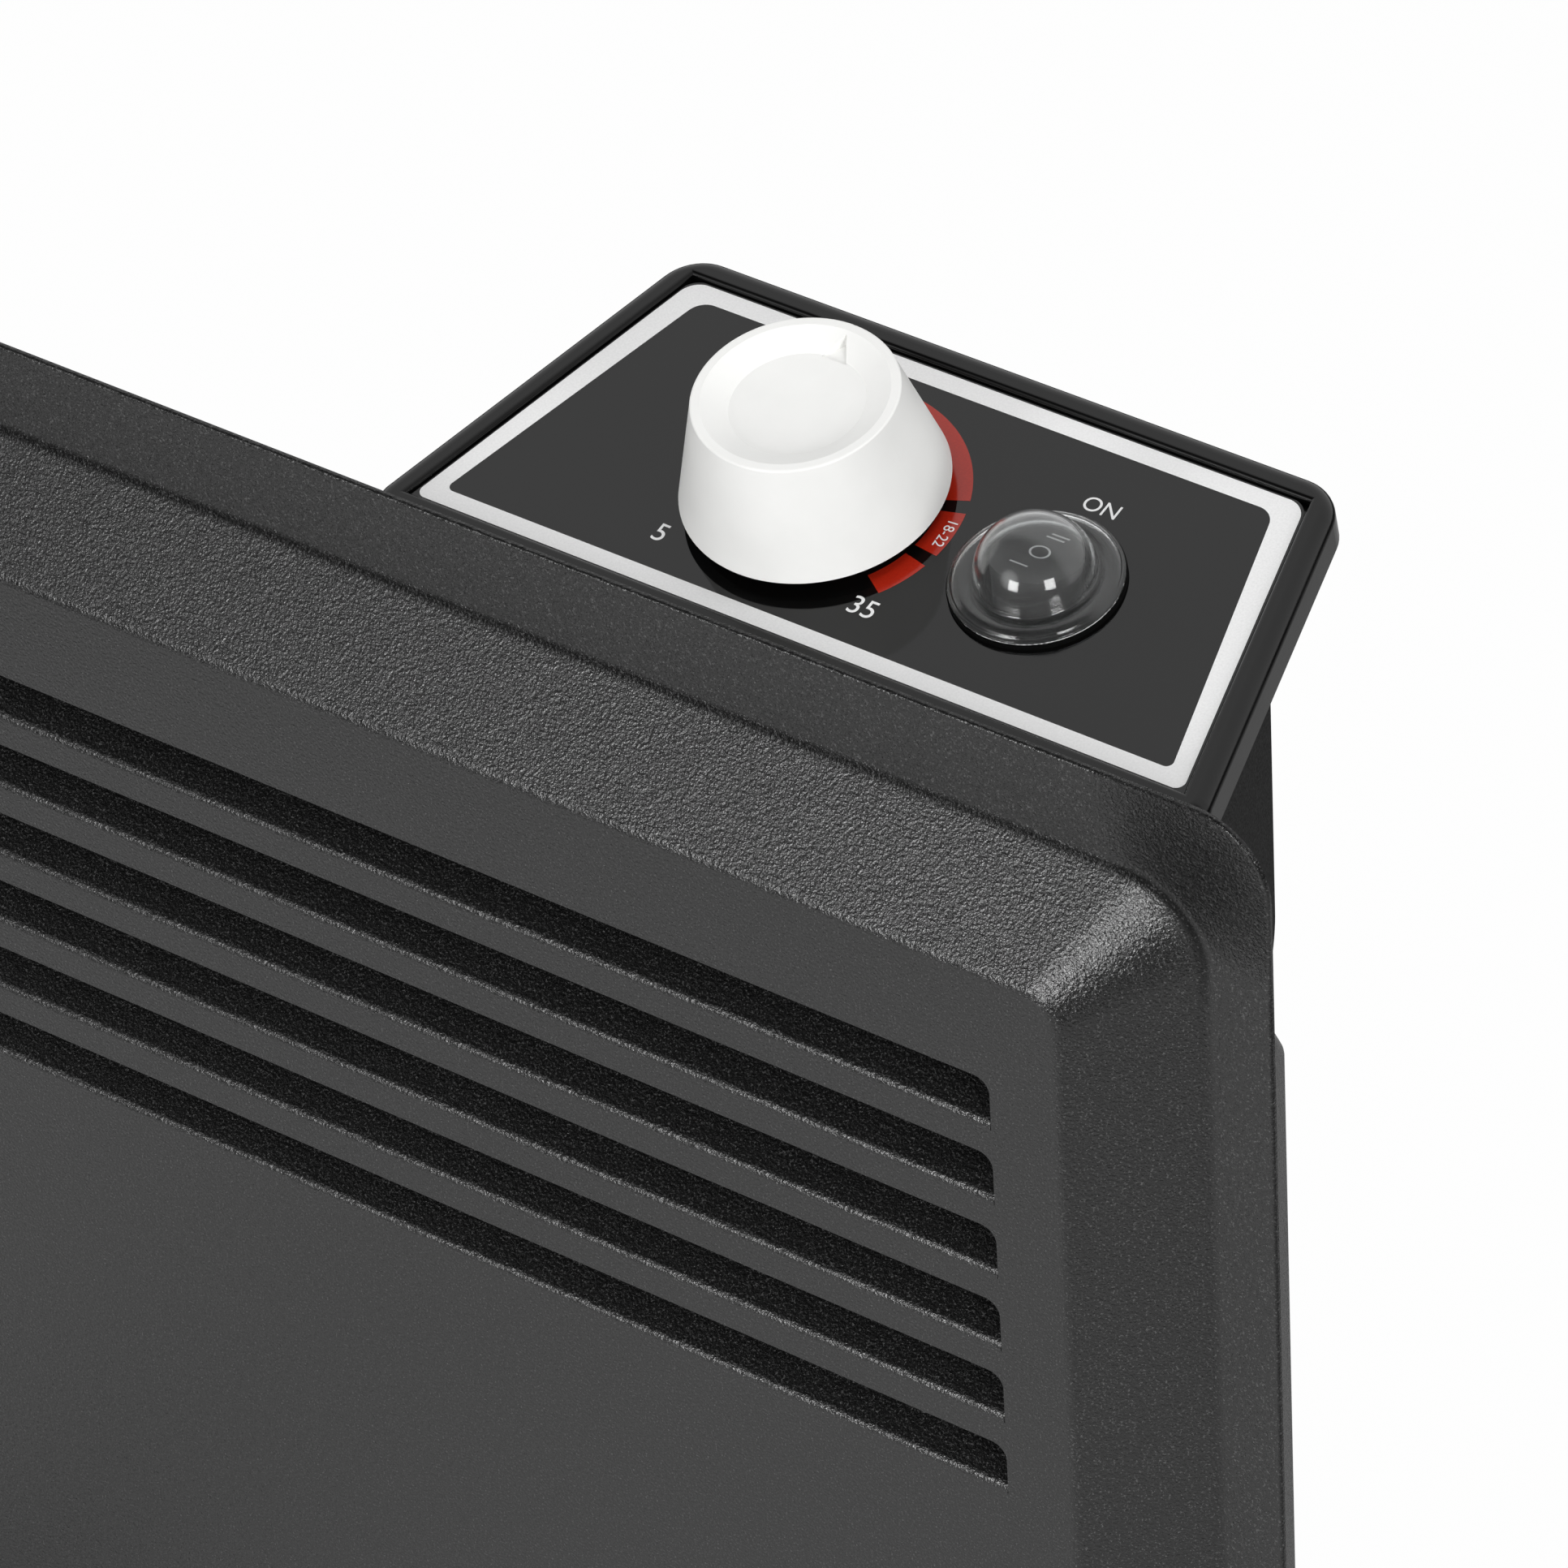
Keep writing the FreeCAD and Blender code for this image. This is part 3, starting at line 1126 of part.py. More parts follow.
for side, name in ((-1, "element_bracket_left"), (1, "element_bracket_right")):
    plate_x = bracket_half * side - sheet / 2
    front_y = element_y - bracket_tall / 2
    low_z = element_z - bracket_tall / 2
    plate = box("bracket_plate", (plate_x, front_y, low_z), (sheet, case_inner_back - front_y, bracket_tall))
    inner_x = plate_x + sheet - size("bracket_foot") if side > 0 else plate_x
    foot_sheet = box("bracket_sole", (inner_x, case_inner_back - sheet, low_z),
                     (size("bracket_foot"), sheet, bracket_tall))
    bush_hole = cross_rod("bush_hole", plate_x - 1, element_y, element_z, neck + fit_gap / 2, sheet + 2)
    rivet_x = inner_x + size("bracket_foot") / 2
    holes = []
    for level in (-1, 1):
        rivet_z = element_z + bracket_tall / 3 * level
        spot = (rivet_x, case_inner_back - sheet - 1, rivet_z)
        holes.append(cylinder("rivet_hole", spot, size("rivet_radius") + 0.05, sheet + case_gauge + 2,
                              (1, 0, 0), -90.0))
        shank = cylinder("rivet_shank", (rivet_x, case_inner_back - sheet, rivet_z), size("rivet_radius"),
                         sheet + case_gauge, (1, 0, 0), -90.0)
        inside = cylinder("rivet_inside", (rivet_x, case_inner_back - sheet - size("rivet_head"), rivet_z),
                          size("rivet_radius") * 2, size("rivet_head"), (1, 0, 0), -90.0)
        outside = cylinder("rivet_outside", (rivet_x, case_back, rivet_z), size("rivet_radius") * 2,
                           size("rivet_head"), (1, 0, 0), -90.0)
        rivet_parts.append(fuse("rivet", [shank, inside, outside]))
    rivet_holes += holes
    bracket_nodes.append(cut(name, fuse(name + "_sheet", [plate, foot_sheet]), [bush_hole] + holes))
    bush_neck = cross_rod("bush_neck", bracket_half * side - size("bush_long") / 2, element_y, element_z, neck,
                          size("bush_long"))
    collar_x = plate_x - size("bush_step") if side > 0 else plate_x + sheet
    bush_collar = cross_rod("bush_collar", collar_x, element_y, element_z, size("bush_collar"), size("bush_step"))
    bush_bore = cross_rod("bush_bore", bracket_half * side - size("bush_long"), element_y, element_z,
                          size("core_radius") + size("bush_bore_gap"), size("bush_long") * 2)
    bush_parts.append(cut("bush", fuse("bush_solid", [bush_neck, bush_collar]), [bush_bore]))
end_bushes = group("end_bushes", bush_parts)
bracket_rivets = group("bracket_rivets", rivet_parts)

# Heat shield: thin sheet between the element and the case back, on two folded edges.
shield_y = case_inner_back - size("shield_stand")
shield_low = case_inner_floor + size("shield_lift")
shield_half = bracket_half - size("shield_margin")
thin_sheet = size("shield_gauge")
shield_plate = box("shield_plate", (-shield_half, shield_y, shield_low),
                   (shield_half * 2, thin_sheet, size("shield_height")))
shield_edges = []
for edge_x in (-shield_half, shield_half - thin_sheet):
    shield_edges.append(box("shield_edge", (edge_x, shield_y, shield_low),
                            (thin_sheet, size("shield_stand"), size("shield_height"))))
heat_shield = fuse("heat_shield", [shield_plate] + shield_edges)

# Thermal cut-out: a disc switch on a small plate on the shield.
cutout_x = shield_half - size("cutout_inset")
cutout_z = case_floor + size("cutout_rise")
cutout_y = shield_y - size("cutout_plate")
cutout_bracket = box("cutout_bracket", (cutout_x - size("cutout_plate_long") / 2, cutout_y,
                                        cutout_z - size("cutout_plate_wide") / 2),
                     (size("cutout_plate_long"), size("cutout_plate"), size("cutout_plate_wide")))
thermal_cutout = cylinder("thermal_cutout", (cutout_x, cutout_y - size("cutout_thick"), cutout_z),
                          size("cutout_radius"), size("cutout_thick"), (1, 0, 0), -90.0)

# Terminal block: ceramic block on the case floor with three wire ways.
block_x = case_half_back - size("block_inset")
block_y = flange_y + size("element_setback")
block_corner = (block_x - size("block_long") / 2, block_y, case_inner_floor)
block_solid = box("block_solid", block_corner, (size("block_long"), size("block_wide"), size("block_deep")))
block_ways = []
for offset in (-1, 0, 1):
    block_ways.append(cylinder("block_way", (block_x + size("block_long") / 3 * offset, block_y - 1,
                                             case_inner_floor + size("block_deep") / 2),
                               size("block_bore"), size("block_wide") + 2, (1, 0, 0), -90.0))
terminal_block = cut("terminal_block", block_solid, block_ways)

# Sensing bulb: in the cool air over the floor, in two saddles.
bulb_z = case_inner_floor + size("bulb_rise")
bulb_y = flange_y + size("bulb_setback")
bulb_x = case_half_back - size("bulb_inset")
bulb_left = bulb_x - size("bulb_long") / 2
sensing_bulb = cross_rod("sensing_bulb", bulb_left, bulb_y, bulb_z, size("bulb_radius"), size("bulb_long"))
saddle_parts = []
for side in (-1, 1):
    saddle_x = bulb_x + size("bulb_long") / 4 * side - size("clip_wide") / 2
    saddle = box("saddle", (saddle_x, bulb_y - size("bulb_radius") - size("clip_gauge"), case_inner_floor),
                 (size("clip_wide"), (size("bulb_radius") + size("clip_gauge")) * 2, size("bulb_rise")))
    saddle_way = cross_rod("saddle_way", saddle_x - 1, bulb_y, bulb_z, size("bulb_radius") + 0.05,
                           size("clip_wide") + 2)
    saddle_parts.append(cut("saddle_one", saddle, [saddle_way]))
bulb_saddles = group("bulb_saddles", saddle_parts)

# Cord gland: threaded tube through the case back, gripping head outside, nut inside. The cord is left out.
gland_x, gland_y, gland_z = gland_spot
gland_tube = cylinder("gland_tube", (gland_x, case_inner_back - size("gland_nut_thick") - 1, gland_z),
                      size("gland_radius"), size("gland_nut_thick") + case_gauge + 2, (1, 0, 0), -90.0)
gland_grip = DOC.addObject("Part::Cone", "gland_grip")
bind(gland_grip, "Radius1", size("gland_head"))
bind(gland_grip, "Radius2", size("gland_radius"))
bind(gland_grip, "Height", size("gland_head_long"))
place(gland_grip, (gland_x, gland_y, gland_z), (1, 0, 0), -90.0)
gland_bore = cylinder("gland_bore", (gland_x, gland_y - size("gland_head_long"), gland_z), size("gland_bore"),
                      size("gland_head_long") * 3, (1, 0, 0), -90.0)
cord_gland = cut("cord_gland", fuse("gland_solid", [gland_tube, gland_grip]), [gland_bore])
gland_nut_bar = prism("gland_nut_bar", (gland_x, case_inner_back - size("gland_nut_thick"), gland_z),
                      size("gland_nut_radius") * 2, size("gland_nut_thick"), (1, 0, 0), -90.0)
gland_nut_way = cylinder("gland_nut_way", (gland_x, case_inner_back - size("gland_nut_thick") * 2, gland_z),
                         size("gland_radius") + 0.05, size("gland_nut_thick") * 3, (1, 0, 0), -90.0)
gland_nut = cut("gland_nut", gland_nut_bar, [gland_nut_way])

# Rear case, finished: the tray and its lip, hollowed, with every opening cut.
case_solid = fuse("case_solid", [tray_outer, lip])
case_holes = lip_chamfers + [lip_gate, tray_inner, gland_hole, wire_hole]
case_holes += stud_holes + inlets + keyholes + foot_floor_holes + tub_screw_holes + rivet_holes
rear_case = cut("rear_case", case_solid, case_holes)


def tube(name, points, bend, radius):
    """A round tube or wire along a route of straight runs joined by bends."""
    route = []
    here = points[0]
    for before, corner, after in zip(points[:-2], points[1:-1], points[2:]):
        inward = (before - corner).normalize()
        onward = (after - corner).normalize()
        turn = inward.getAngle(onward)
        reach_back = bend / math.tan(turn / 2)
        first = corner + inward * reach_back
        last = corner + onward * reach_back
        middle_way = (inward + onward).normalize()
        centre = corner + middle_way * (bend / math.sin(turn / 2))
        crest = centre - middle_way * bend
        route.append(Part.LineSegment(here, first).toShape())
        route.append(Part.Arc(first, crest, last).toShape())
        here = last
    route.append(Part.LineSegment(here, points[-1]).toShape())
    wire = Part.Wire(route)
    heading = (points[1] - points[0]).normalize()
    section = Part.Wire(Part.Circle(points[0], heading, radius).toShape())
    result = DOC.addObject("Part::Feature", name)
    result.Shape = wire.makePipeShell([section], True, True)
    return result


def spot(point):
    return FreeCAD.Vector(*[number_of(value) for value in point])


# Capillary tube: from the thermostat through the grommet and down in front of the element to the bulb.
wire_mid = spot(roof_point(wire_x, wire_y, zero))
wire_axis = (spot(roof_point(wire_x, wire_y, tub_wall)) - wire_mid).normalize()
stat_side = spot(fascia(knob_spot[0] - stat_half, knob_spot[1], plate_low - size("thermostat_depth") / 2))
bulb_end = spot((bulb_left, bulb_y, bulb_z))
lead = FreeCAD.Vector(-SIZES["lead_gap"], 0, 0)
stray = SIZES["lead_stray"]
stretch = SIZES["lead_side"]
capillary_route = [stat_side, FreeCAD.Vector(wire_mid.x + lead.x, stat_side.y, stat_side.z),
                   wire_mid + lead + wire_axis * SIZES["lead_turn"], wire_mid + lead - wire_axis * stretch,
                   FreeCAD.Vector(wire_mid.x - stray, bulb_end.y, wire_mid.z - SIZES["lead_hang"]),
                   FreeCAD.Vector(wire_mid.x - stray, bulb_end.y, bulb_end.z), bulb_end]
capillary = tube("capillary_tube", capillary_route, SIZES["capillary_bend"], SIZES["capillary_radius"])

# Inner wires: sleeved leads between the block, the switch, the thermostat, the cut-out and the element.
blade_mid = spot(fascia(switch_spot[0], switch_spot[1] + size("blade_gauge") / 2, barrel_low - size("blade_long")))
blade_step = spot(fascia(switch_spot[0], switch_spot[1] + size("blade_gauge") / 2 - size("blade_pitch"),
                         barrel_low - size("blade_long")))
stat_right = spot(fascia(knob_spot[0] + stat_half, knob_spot[1], plate_low - size("thermostat_depth") / 2))
stat_left = spot(fascia(knob_spot[0] - stat_half, knob_spot[1] + stat_half / 2,
                        plate_low - size("thermostat_depth") / 2))
block_mouth = [spot((block_x + size("block_long") / 3 * side, block_y + size("block_wide") / 2,
                     case_inner_floor + size("block_deep") / 2)) for side in (-1, 1)]
core_ends = [spot((core_half * side, element_y, element_z)) for side in (-1, 1)]
cutout_face = spot((cutout_x, cutout_y - size("cutout_thick"), cutout_z))
tangent = FreeCAD.Vector(1, 0, 0).cross(wire_axis)


def at(point, x=0.0, y=0.0, z=0.0):
    return FreeCAD.Vector(point.x + x, point.y + y, point.z + z)


feed_lead = FreeCAD.Vector(SIZES["lead_gap"], 0, 0)
heat_lead = tangent * -SIZES["lead_gap"]
turn = SIZES["lead_turn"]
front = SIZES["lead_front"]
rise_z = SIZES["lead_rise"]
touch = SIZES["lead_touch"]
core_way_out = SIZES["lead_core"]
drop = SIZES["lead_drop"]
below = SIZES["lead_blade"]
face = SIZES["lead_face"]
pin = SIZES["lead_pin"]
feed_foot = block_mouth[0]
heat_foot = block_mouth[1]
routes = [
    [feed_foot, at(feed_foot, y=-turn), at(feed_foot, -stretch, -turn), at(feed_foot, -stretch, -front),
     at(feed_foot, -stretch, -front, rise_z), wire_mid + feed_lead - wire_axis * stretch,
     wire_mid + feed_lead + wire_axis * stretch,
     FreeCAD.Vector(wire_mid.x + below, blade_mid.y, blade_mid.z - below), at(blade_mid, z=-below),
     at(blade_mid, z=-touch)],
    [at(blade_step, z=-touch), at(blade_step, z=-turn), at(blade_step, -turn, 0, -turn),
     FreeCAD.Vector(blade_step.x - turn, stat_right.y, stat_right.z), at(stat_right, touch)],
    [at(stat_left, -touch), at(stat_left, -stretch), wire_mid + heat_lead + wire_axis * stretch,
     wire_mid + heat_lead - wire_axis * stretch, at(cutout_face, -pin, -face, SIZES["lead_climb"]),
     at(cutout_face, -pin, -face), at(cutout_face, -pin, -touch)],
    [at(cutout_face, pin, -touch), at(cutout_face, pin, -core_way_out),
     FreeCAD.Vector(core_ends[1].x + SIZES["lead_over"], cutout_face.y - core_way_out, cutout_face.z),
     at(core_ends[1], core_way_out, 0, drop), at(core_ends[1], core_way_out), at(core_ends[1], touch)],
    [heat_foot, at(heat_foot, y=turn),
     FreeCAD.Vector(core_ends[0].x - core_way_out, heat_foot.y + turn, heat_foot.z),
     at(core_ends[0], -core_way_out, 0, -drop), at(core_ends[0], -core_way_out), at(core_ends[0], -touch)],
]
leads = [tube("lead", route, SIZES["wire_bend"], SIZES["wire_radius"]) for route in routes]
inner_wires = group("inner_wires", leads)

DOC.recompute()
NODES = ["front_panel", "rear_case", "panel_studs", "panel_nuts", "control_housing", "control_bezel",
         "control_overlay", "housing_screws", "wire_grommet", "thermostat_body", "thermostat_screws",
         "thermostat_shaft", "thermostat_knob", "switch_body", "switch_blades", "switch_rocker", "switch_hood",
         "heating_fins", "heating_core", "end_bushes", "element_bracket_left", "element_bracket_right",
         "bracket_rivets", "heat_shield", "cutout_bracket", "thermal_cutout", "terminal_block", "sensing_bulb",
         "bulb_saddles", "capillary_tube", "inner_wires", "cord_gland", "gland_nut", "foot_left", "foot_right", "foot_screws",
         "foot_nuts", "foot_pads"]
for item in DOC.Objects:
    if "Invalid" in item.State or "Error" in item.State:
        raise RuntimeError(f"{item.Name} ({item.Label}): {item.State}")
os.makedirs("parts", exist_ok=True)
for name in NODES:
    node = DOC.getObject(name)
    if node.Shape.isNull() or not node.Shape.isValid() or node.Shape.Volume <= 0:
        raise RuntimeError(f"{name}: shape is not valid")
    node.Label = name
    node.Shape.exportStep(f"parts/{name}.step")
    bounds = node.Shape.BoundBox
    print(f"{name}: {len(node.Shape.Solids)} solids, {node.Shape.Volume / 1000:.2f} cm3, "
          f"x {bounds.XMin:.1f} {bounds.XMax:.1f} y {bounds.YMin:.1f} {bounds.YMax:.1f} "
          f"z {bounds.ZMin:.1f} {bounds.ZMax:.1f}")
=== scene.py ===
import math
import bpy
import bmesh
from mathutils import Matrix, Vector


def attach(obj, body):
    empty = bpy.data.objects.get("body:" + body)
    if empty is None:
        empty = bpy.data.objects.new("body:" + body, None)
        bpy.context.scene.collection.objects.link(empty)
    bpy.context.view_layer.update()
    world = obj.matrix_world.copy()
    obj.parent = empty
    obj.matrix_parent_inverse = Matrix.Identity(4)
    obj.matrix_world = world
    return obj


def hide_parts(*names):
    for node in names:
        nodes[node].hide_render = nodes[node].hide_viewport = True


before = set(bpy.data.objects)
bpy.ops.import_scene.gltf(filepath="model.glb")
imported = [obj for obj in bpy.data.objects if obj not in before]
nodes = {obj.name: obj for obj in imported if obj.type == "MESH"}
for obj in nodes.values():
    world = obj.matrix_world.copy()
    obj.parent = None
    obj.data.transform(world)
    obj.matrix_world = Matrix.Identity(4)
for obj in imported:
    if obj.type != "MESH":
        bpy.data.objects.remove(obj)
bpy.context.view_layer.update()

# Front panel and rear case
# A pressed steel panel and a folded steel tray under black powder coat, grainy on the panel. The tray's
# copy
# of the coat is darker and duller: painted shade, as the tray lies out of the lamps' reach. Studs welded to
# the panel's flange pass through the tray's lip and take nuts.
MM = 0.001


def srgb(code):
    """A hex colour as the linear values that a shader takes."""
    parts = [int(code[i:i + 2], 16) / 255 for i in (1, 3, 5)]
    linear = [p / 12.92 if p <= 0.04045 else ((p + 0.055) / 1.055) ** 2.4 for p in parts]
    return (*linear, 1.0)


def feed(tree, node, inputs):
    """Sets a node's inputs, each given as a value or as a socket to link."""
    for name, value in inputs.items():
        if isinstance(value, bpy.types.NodeSocket):
            tree.links.new(value, node.inputs[name])
        else:
            node.inputs[name].default_value = value


def add(tree, kind, inputs=None, stops=(), **settings):
    """One shader node with its settings and inputs; stops give a colour ramp's places and hex colours."""
    node = tree.nodes.new("ShaderNode" + kind)
    for name, value in settings.items():
        setattr(node, name, value)
    if stops:
        elements = node.color_ramp.elements
        while len(elements) < len(stops):
            elements.new(0.5)
        for element, (spot, code) in zip(elements, stops):
            element.position = spot
            element.color = srgb(code)
    feed(tree, node, inputs or {})
    return node


def surface(name, **sockets):
    """A material with a surface shader; returns it, its nodes, the shader and the place on the object."""
    material = bpy.data.materials.new(name)
    material.use_nodes = True
    tree = material.node_tree
    shader = tree.nodes["Principled BSDF"]
    feed(tree, shader, {socket.replace("_", " "): value for socket, value in sockets.items()})
    return material, tree, shader, add(tree, "TexCoord").outputs["Object"]


def grit(width):
    """Scale of a pattern whose features are about this many millimetres wide, to two figures."""
    return float(f"{1 / (width * MM):.2g}")


def dress(material, *names):
    """Gives CAD nodes their material."""
    for name in names:
        mesh = nodes[name].data
        mesh.materials.clear()
        mesh.materials.append(material)


# Powder coat: bumps whose flanks catch the lamps as bright grain while their hollows stay dark.
# They are about 0.6 mm wide, a little coarser than the real ones so that they show.
grain_width, grain_depth, tone_and_glint_width = 0.59, 0.2 * MM, 0.385
panel_shine, tray_shade_shine = 0.85, 0.12
coats = {}
for name, shine, stops, node_name in (
        ("black_powder_coat", panel_shine,
         [(0.3, "#0c0c0c"), (0.6, "#151515"), (0.76, "#505050")], "front_panel"),
        # The tray's darker, duller copy of the coat is painted shade.
        ("shaded_black_powder_coat", tray_shade_shine,
         [(0.3, "#080808"), (0.6, "#0d0d0d"), (0.76, "#303030")], "rear_case")):
    coat, tree, shader, place = surface(name, Specular_IOR_Level=shine)
    grain = add(tree, "TexNoise", {"Vector": place, "Scale": grit(grain_width), "Detail": 2.0,
                                   "Roughness": 0.6}).outputs["Fac"]
    # Base colour: random tone, whose lightest flecks are painted glints standing in for the grain's
    # sparkle.
    tone_and_painted_glint = add(tree, "TexNoise", {"Vector": place, "Scale": grit(tone_and_glint_width),
                                   "Detail": 1.0}).outputs["Fac"]
    rough = add(tree, "MapRange", {"Value": grain, "From Min": 0.3, "From Max": 0.7,
                                   "To Min": 0.3, "To Max": 0.2})
    bump = add(tree, "Bump", {"Height": grain, "Strength": 1.0, "Distance": grain_depth})
    feed(tree, shader, {"Base Color": add(tree, "ValToRGB", {"Fac": tone_and_painted_glint}, stops).outputs["Color"],
                        "Roughness": rough.outputs["Result"], "Normal": bump.outputs["Normal"]})
    dress(coat, node_name)
    coats[name] = (tree, shader, place, bump)

# Pressing leaves the flange lifted a little at its two top corners, which turns them away from the light.
corner_spot = (229.5 * MM, 0.0, 442.0 * MM)
lift_reach, lift_height = 34.0 * MM, 9.0 * MM
slope_depth, flange_depth = -29.5 * MM, -26.5 * MM
tree, shader, place, bump = coats["black_powder_coat"]
spot = add(tree, "SeparateXYZ", {"Vector": place}).outputs
across = add(tree, "Math", {0: spot["X"]}, operation="ABSOLUTE").outputs["Value"]
flat = add(tree, "CombineXYZ", {"X": across, "Z": spot["Z"]}).outputs["Vector"]
apart = add(tree, "VectorMath", {0: flat, 1: corner_spot}, operation="DISTANCE").outputs["Value"]
lifted = add(tree, "MapRange", {"Value": apart, "From Max": lift_reach, "To Min": 1.0, "To Max": 0.0},
             interpolation_type="SMOOTHSTEP").outputs["Result"]
on_flange = add(tree, "MapRange", {"Value": spot["Y"], "From Min": slope_depth,
                                   "From Max": flange_depth}).outputs["Result"]
lift = add(tree, "Mix", {"Factor": on_flange, "A": 0.0, "B": lifted}, data_type="FLOAT").outputs["Result"]
warp = add(tree, "Bump", {"Height": lift, "Strength": 1.0, "Distance": lift_height})
feed(tree, bump, {"Normal": warp.outputs["Normal"]})

# Round the flange a band about 1.5 mm wide, least at the sides and bottom, reflects less: painted shade
# that darkens the crease. The flange's outer edge reflects less too: painted shade that keeps the edge
# dark.
crease_start, crease_full, crease_thin, crease_end = -26.05 * MM, -26.2 * MM, -26.5 * MM, -27.1 * MM
crease_low, crease_high, crease_least = 400.0 * MM, 418.0 * MM, 0.15
edge_start, edge_full, edge_most = -25.97 * MM, -25.7 * MM, 0.7
shade_shine = 0.15
enter = add(tree, "MapRange", {"Value": spot["Y"], "From Min": crease_start, "From Max": crease_full})
leave = add(tree, "MapRange", {"Value": spot["Y"], "From Min": crease_end, "From Max": crease_thin})
top_share = add(tree, "MapRange", {"Value": spot["Z"], "From Min": crease_low, "From Max": crease_high,
                                   "To Min": crease_least, "To Max": 1.0})
crease = add(tree, "Math", {0: enter.outputs["Result"], 1: leave.outputs["Result"]}, operation="MULTIPLY")
crease = add(tree, "Math", {0: crease.outputs["Value"], 1: top_share.outputs["Result"]},
             operation="MULTIPLY")
edge = add(tree, "MapRange", {"Value": spot["Y"], "From Min": edge_start, "From Max": edge_full,
                              "To Max": edge_most})
# Painted shade: these masks lower the coat's reflection in the crease and along the flange's edge.
painted_shade = add(tree, "Math", {0: crease.outputs["Value"], 1: edge.outputs["Result"]}, operation="MAXIMUM")
shine = add(tree, "MapRange", {"Value": painted_shade.outputs["Value"], "To Min": panel_shine, "To Max": shade_shine})
feed(tree, shader, {"Specular IOR Level": shine.outputs["Result"]})

# Fastenings and brackets
# Studs, nuts, screws, riveted brackets and saddles of zinc-plated steel: bright metal with a faint
# blue-yellow bloom in patches about 8 mm wide and fine scratches.
bloom_width, scratch_width, scratch_depth = 8.3, 0.556, 0.03 * MM
zinc, tree, shader, place = surface("zinc_plated_steel", Metallic=1.0)
bloom = add(tree, "TexNoise", {"Vector": place, "Scale": grit(bloom_width), "Detail": 5.0}).outputs["Fac"]
scratch = add(tree, "TexNoise", {"Vector": place, "Scale": grit(scratch_width),
                                 "Detail": 2.0}).outputs["Fac"]
colour = add(tree, "ValToRGB", {"Fac": bloom}, [(0.3, "#a9adb0"), (0.6, "#c4c3b8"), (0.8, "#b5b9bd")])
rough = add(tree, "MapRange", {"Value": bloom, "From Min": 0.3, "From Max": 0.7,
                               "To Min": 0.28, "To Max": 0.48})
bump = add(tree, "Bump", {"Height": scratch, "Strength": 0.3, "Distance": scratch_depth})
feed(tree, shader, {"Base Color": colour.outputs["Color"], "Roughness": rough.outputs["Result"],
                    "Normal": bump.outputs["Normal"]})
dress(zinc, "panel_studs", "panel_nuts", "housing_screws", "thermostat_screws", "element_bracket_left",
      "element_bracket_right", "cutout_bracket", "bulb_saddles", "foot_screws", "foot_nuts")

# Heating element, its core and its shield
# An extruded aluminium bar with vanes round a steel-sheathed core, held by riveted brackets, and a rolled
# steel shield behind it. Both metals show fine drawing lines along the heater, about 1 mm apart.
line_long, line_apart, line_depth = 167.0, 1.11, 0.04 * MM
line_stretch = (grit(line_long), grit(line_apart), grit(line_apart))
for name, stops, low, high, names in (
        ("extruded_aluminium", [(0.3, "#b4b5b6"), (0.7, "#cfd0d0")], 0.3, 0.5,
         ("heating_fins", "bracket_rivets")),
        ("rolled_steel", [(0.25, "#8f8d89"), (0.6, "#aba8a2"), (0.85, "#9a8f80")], 0.25, 0.42,
         ("heating_core", "heat_shield"))):
    metal, tree, shader, place = surface(name, Metallic=1.0)
    drawn = add(tree, "Mapping", {"Vector": place, "Scale": line_stretch}).outputs["Vector"]
    lines = add(tree, "TexNoise", {"Vector": drawn, "Scale": 1.0, "Detail": 4.0}).outputs["Fac"]
    rough = add(tree, "MapRange", {"Value": lines, "From Min": 0.3, "From Max": 0.7,
                                   "To Min": low, "To Max": high})
    bump = add(tree, "Bump", {"Height": lines, "Strength": 0.4, "Distance": line_depth})
    feed(tree, shader, {"Base Color": add(tree, "ValToRGB", {"Fac": lines}, stops).outputs["Color"],
                        "Roughness": rough.outputs["Result"], "Normal": bump.outputs["Normal"]})
    dress(metal, *names)

# Ceramic bushes and terminal block, pressed-resin cut-out and thermostat body
# Fired steatite is cream and matt, with fine pores about 1 mm apart.
# The dark resin is pressed hot into its mould and shows a little of its filler.
pore_depth, roughness_spread = 0.06 * MM, 0.08
for name, stops, roughness, pore_width, names in (
        ("fired_ceramic", [(0.35, "#cfc8b8"), (0.7, "#e0dacb")], 0.7, 1.11,
         ("end_bushes", "terminal_block")),
        ("pressed_resin", [(0.35, "#1d1714"), (0.7, "#2a221d")], 0.45, 1.43,
         ("thermal_cutout", "thermostat_body"))):
    body_stuff, tree, shader, place = surface(name)
    pores = add(tree, "TexNoise", {"Vector": place, "Scale": grit(pore_width),
                                   "Detail": 3.0}).outputs["Fac"]
    rough = add(tree, "MapRange", {"Value": pores, "To Min": roughness - roughness_spread,
                                   "To Max": roughness + roughness_spread})
    bump = add(tree, "Bump", {"Height": pores, "Strength": 0.4, "Distance": pore_depth})
    feed(tree, shader, {"Base Color": add(tree, "ValToRGB", {"Fac": pores}, stops).outputs["Color"],
                        "Roughness": rough.outputs["Result"], "Normal": bump.outputs["Normal"]})
    dress(body_stuff, *names)

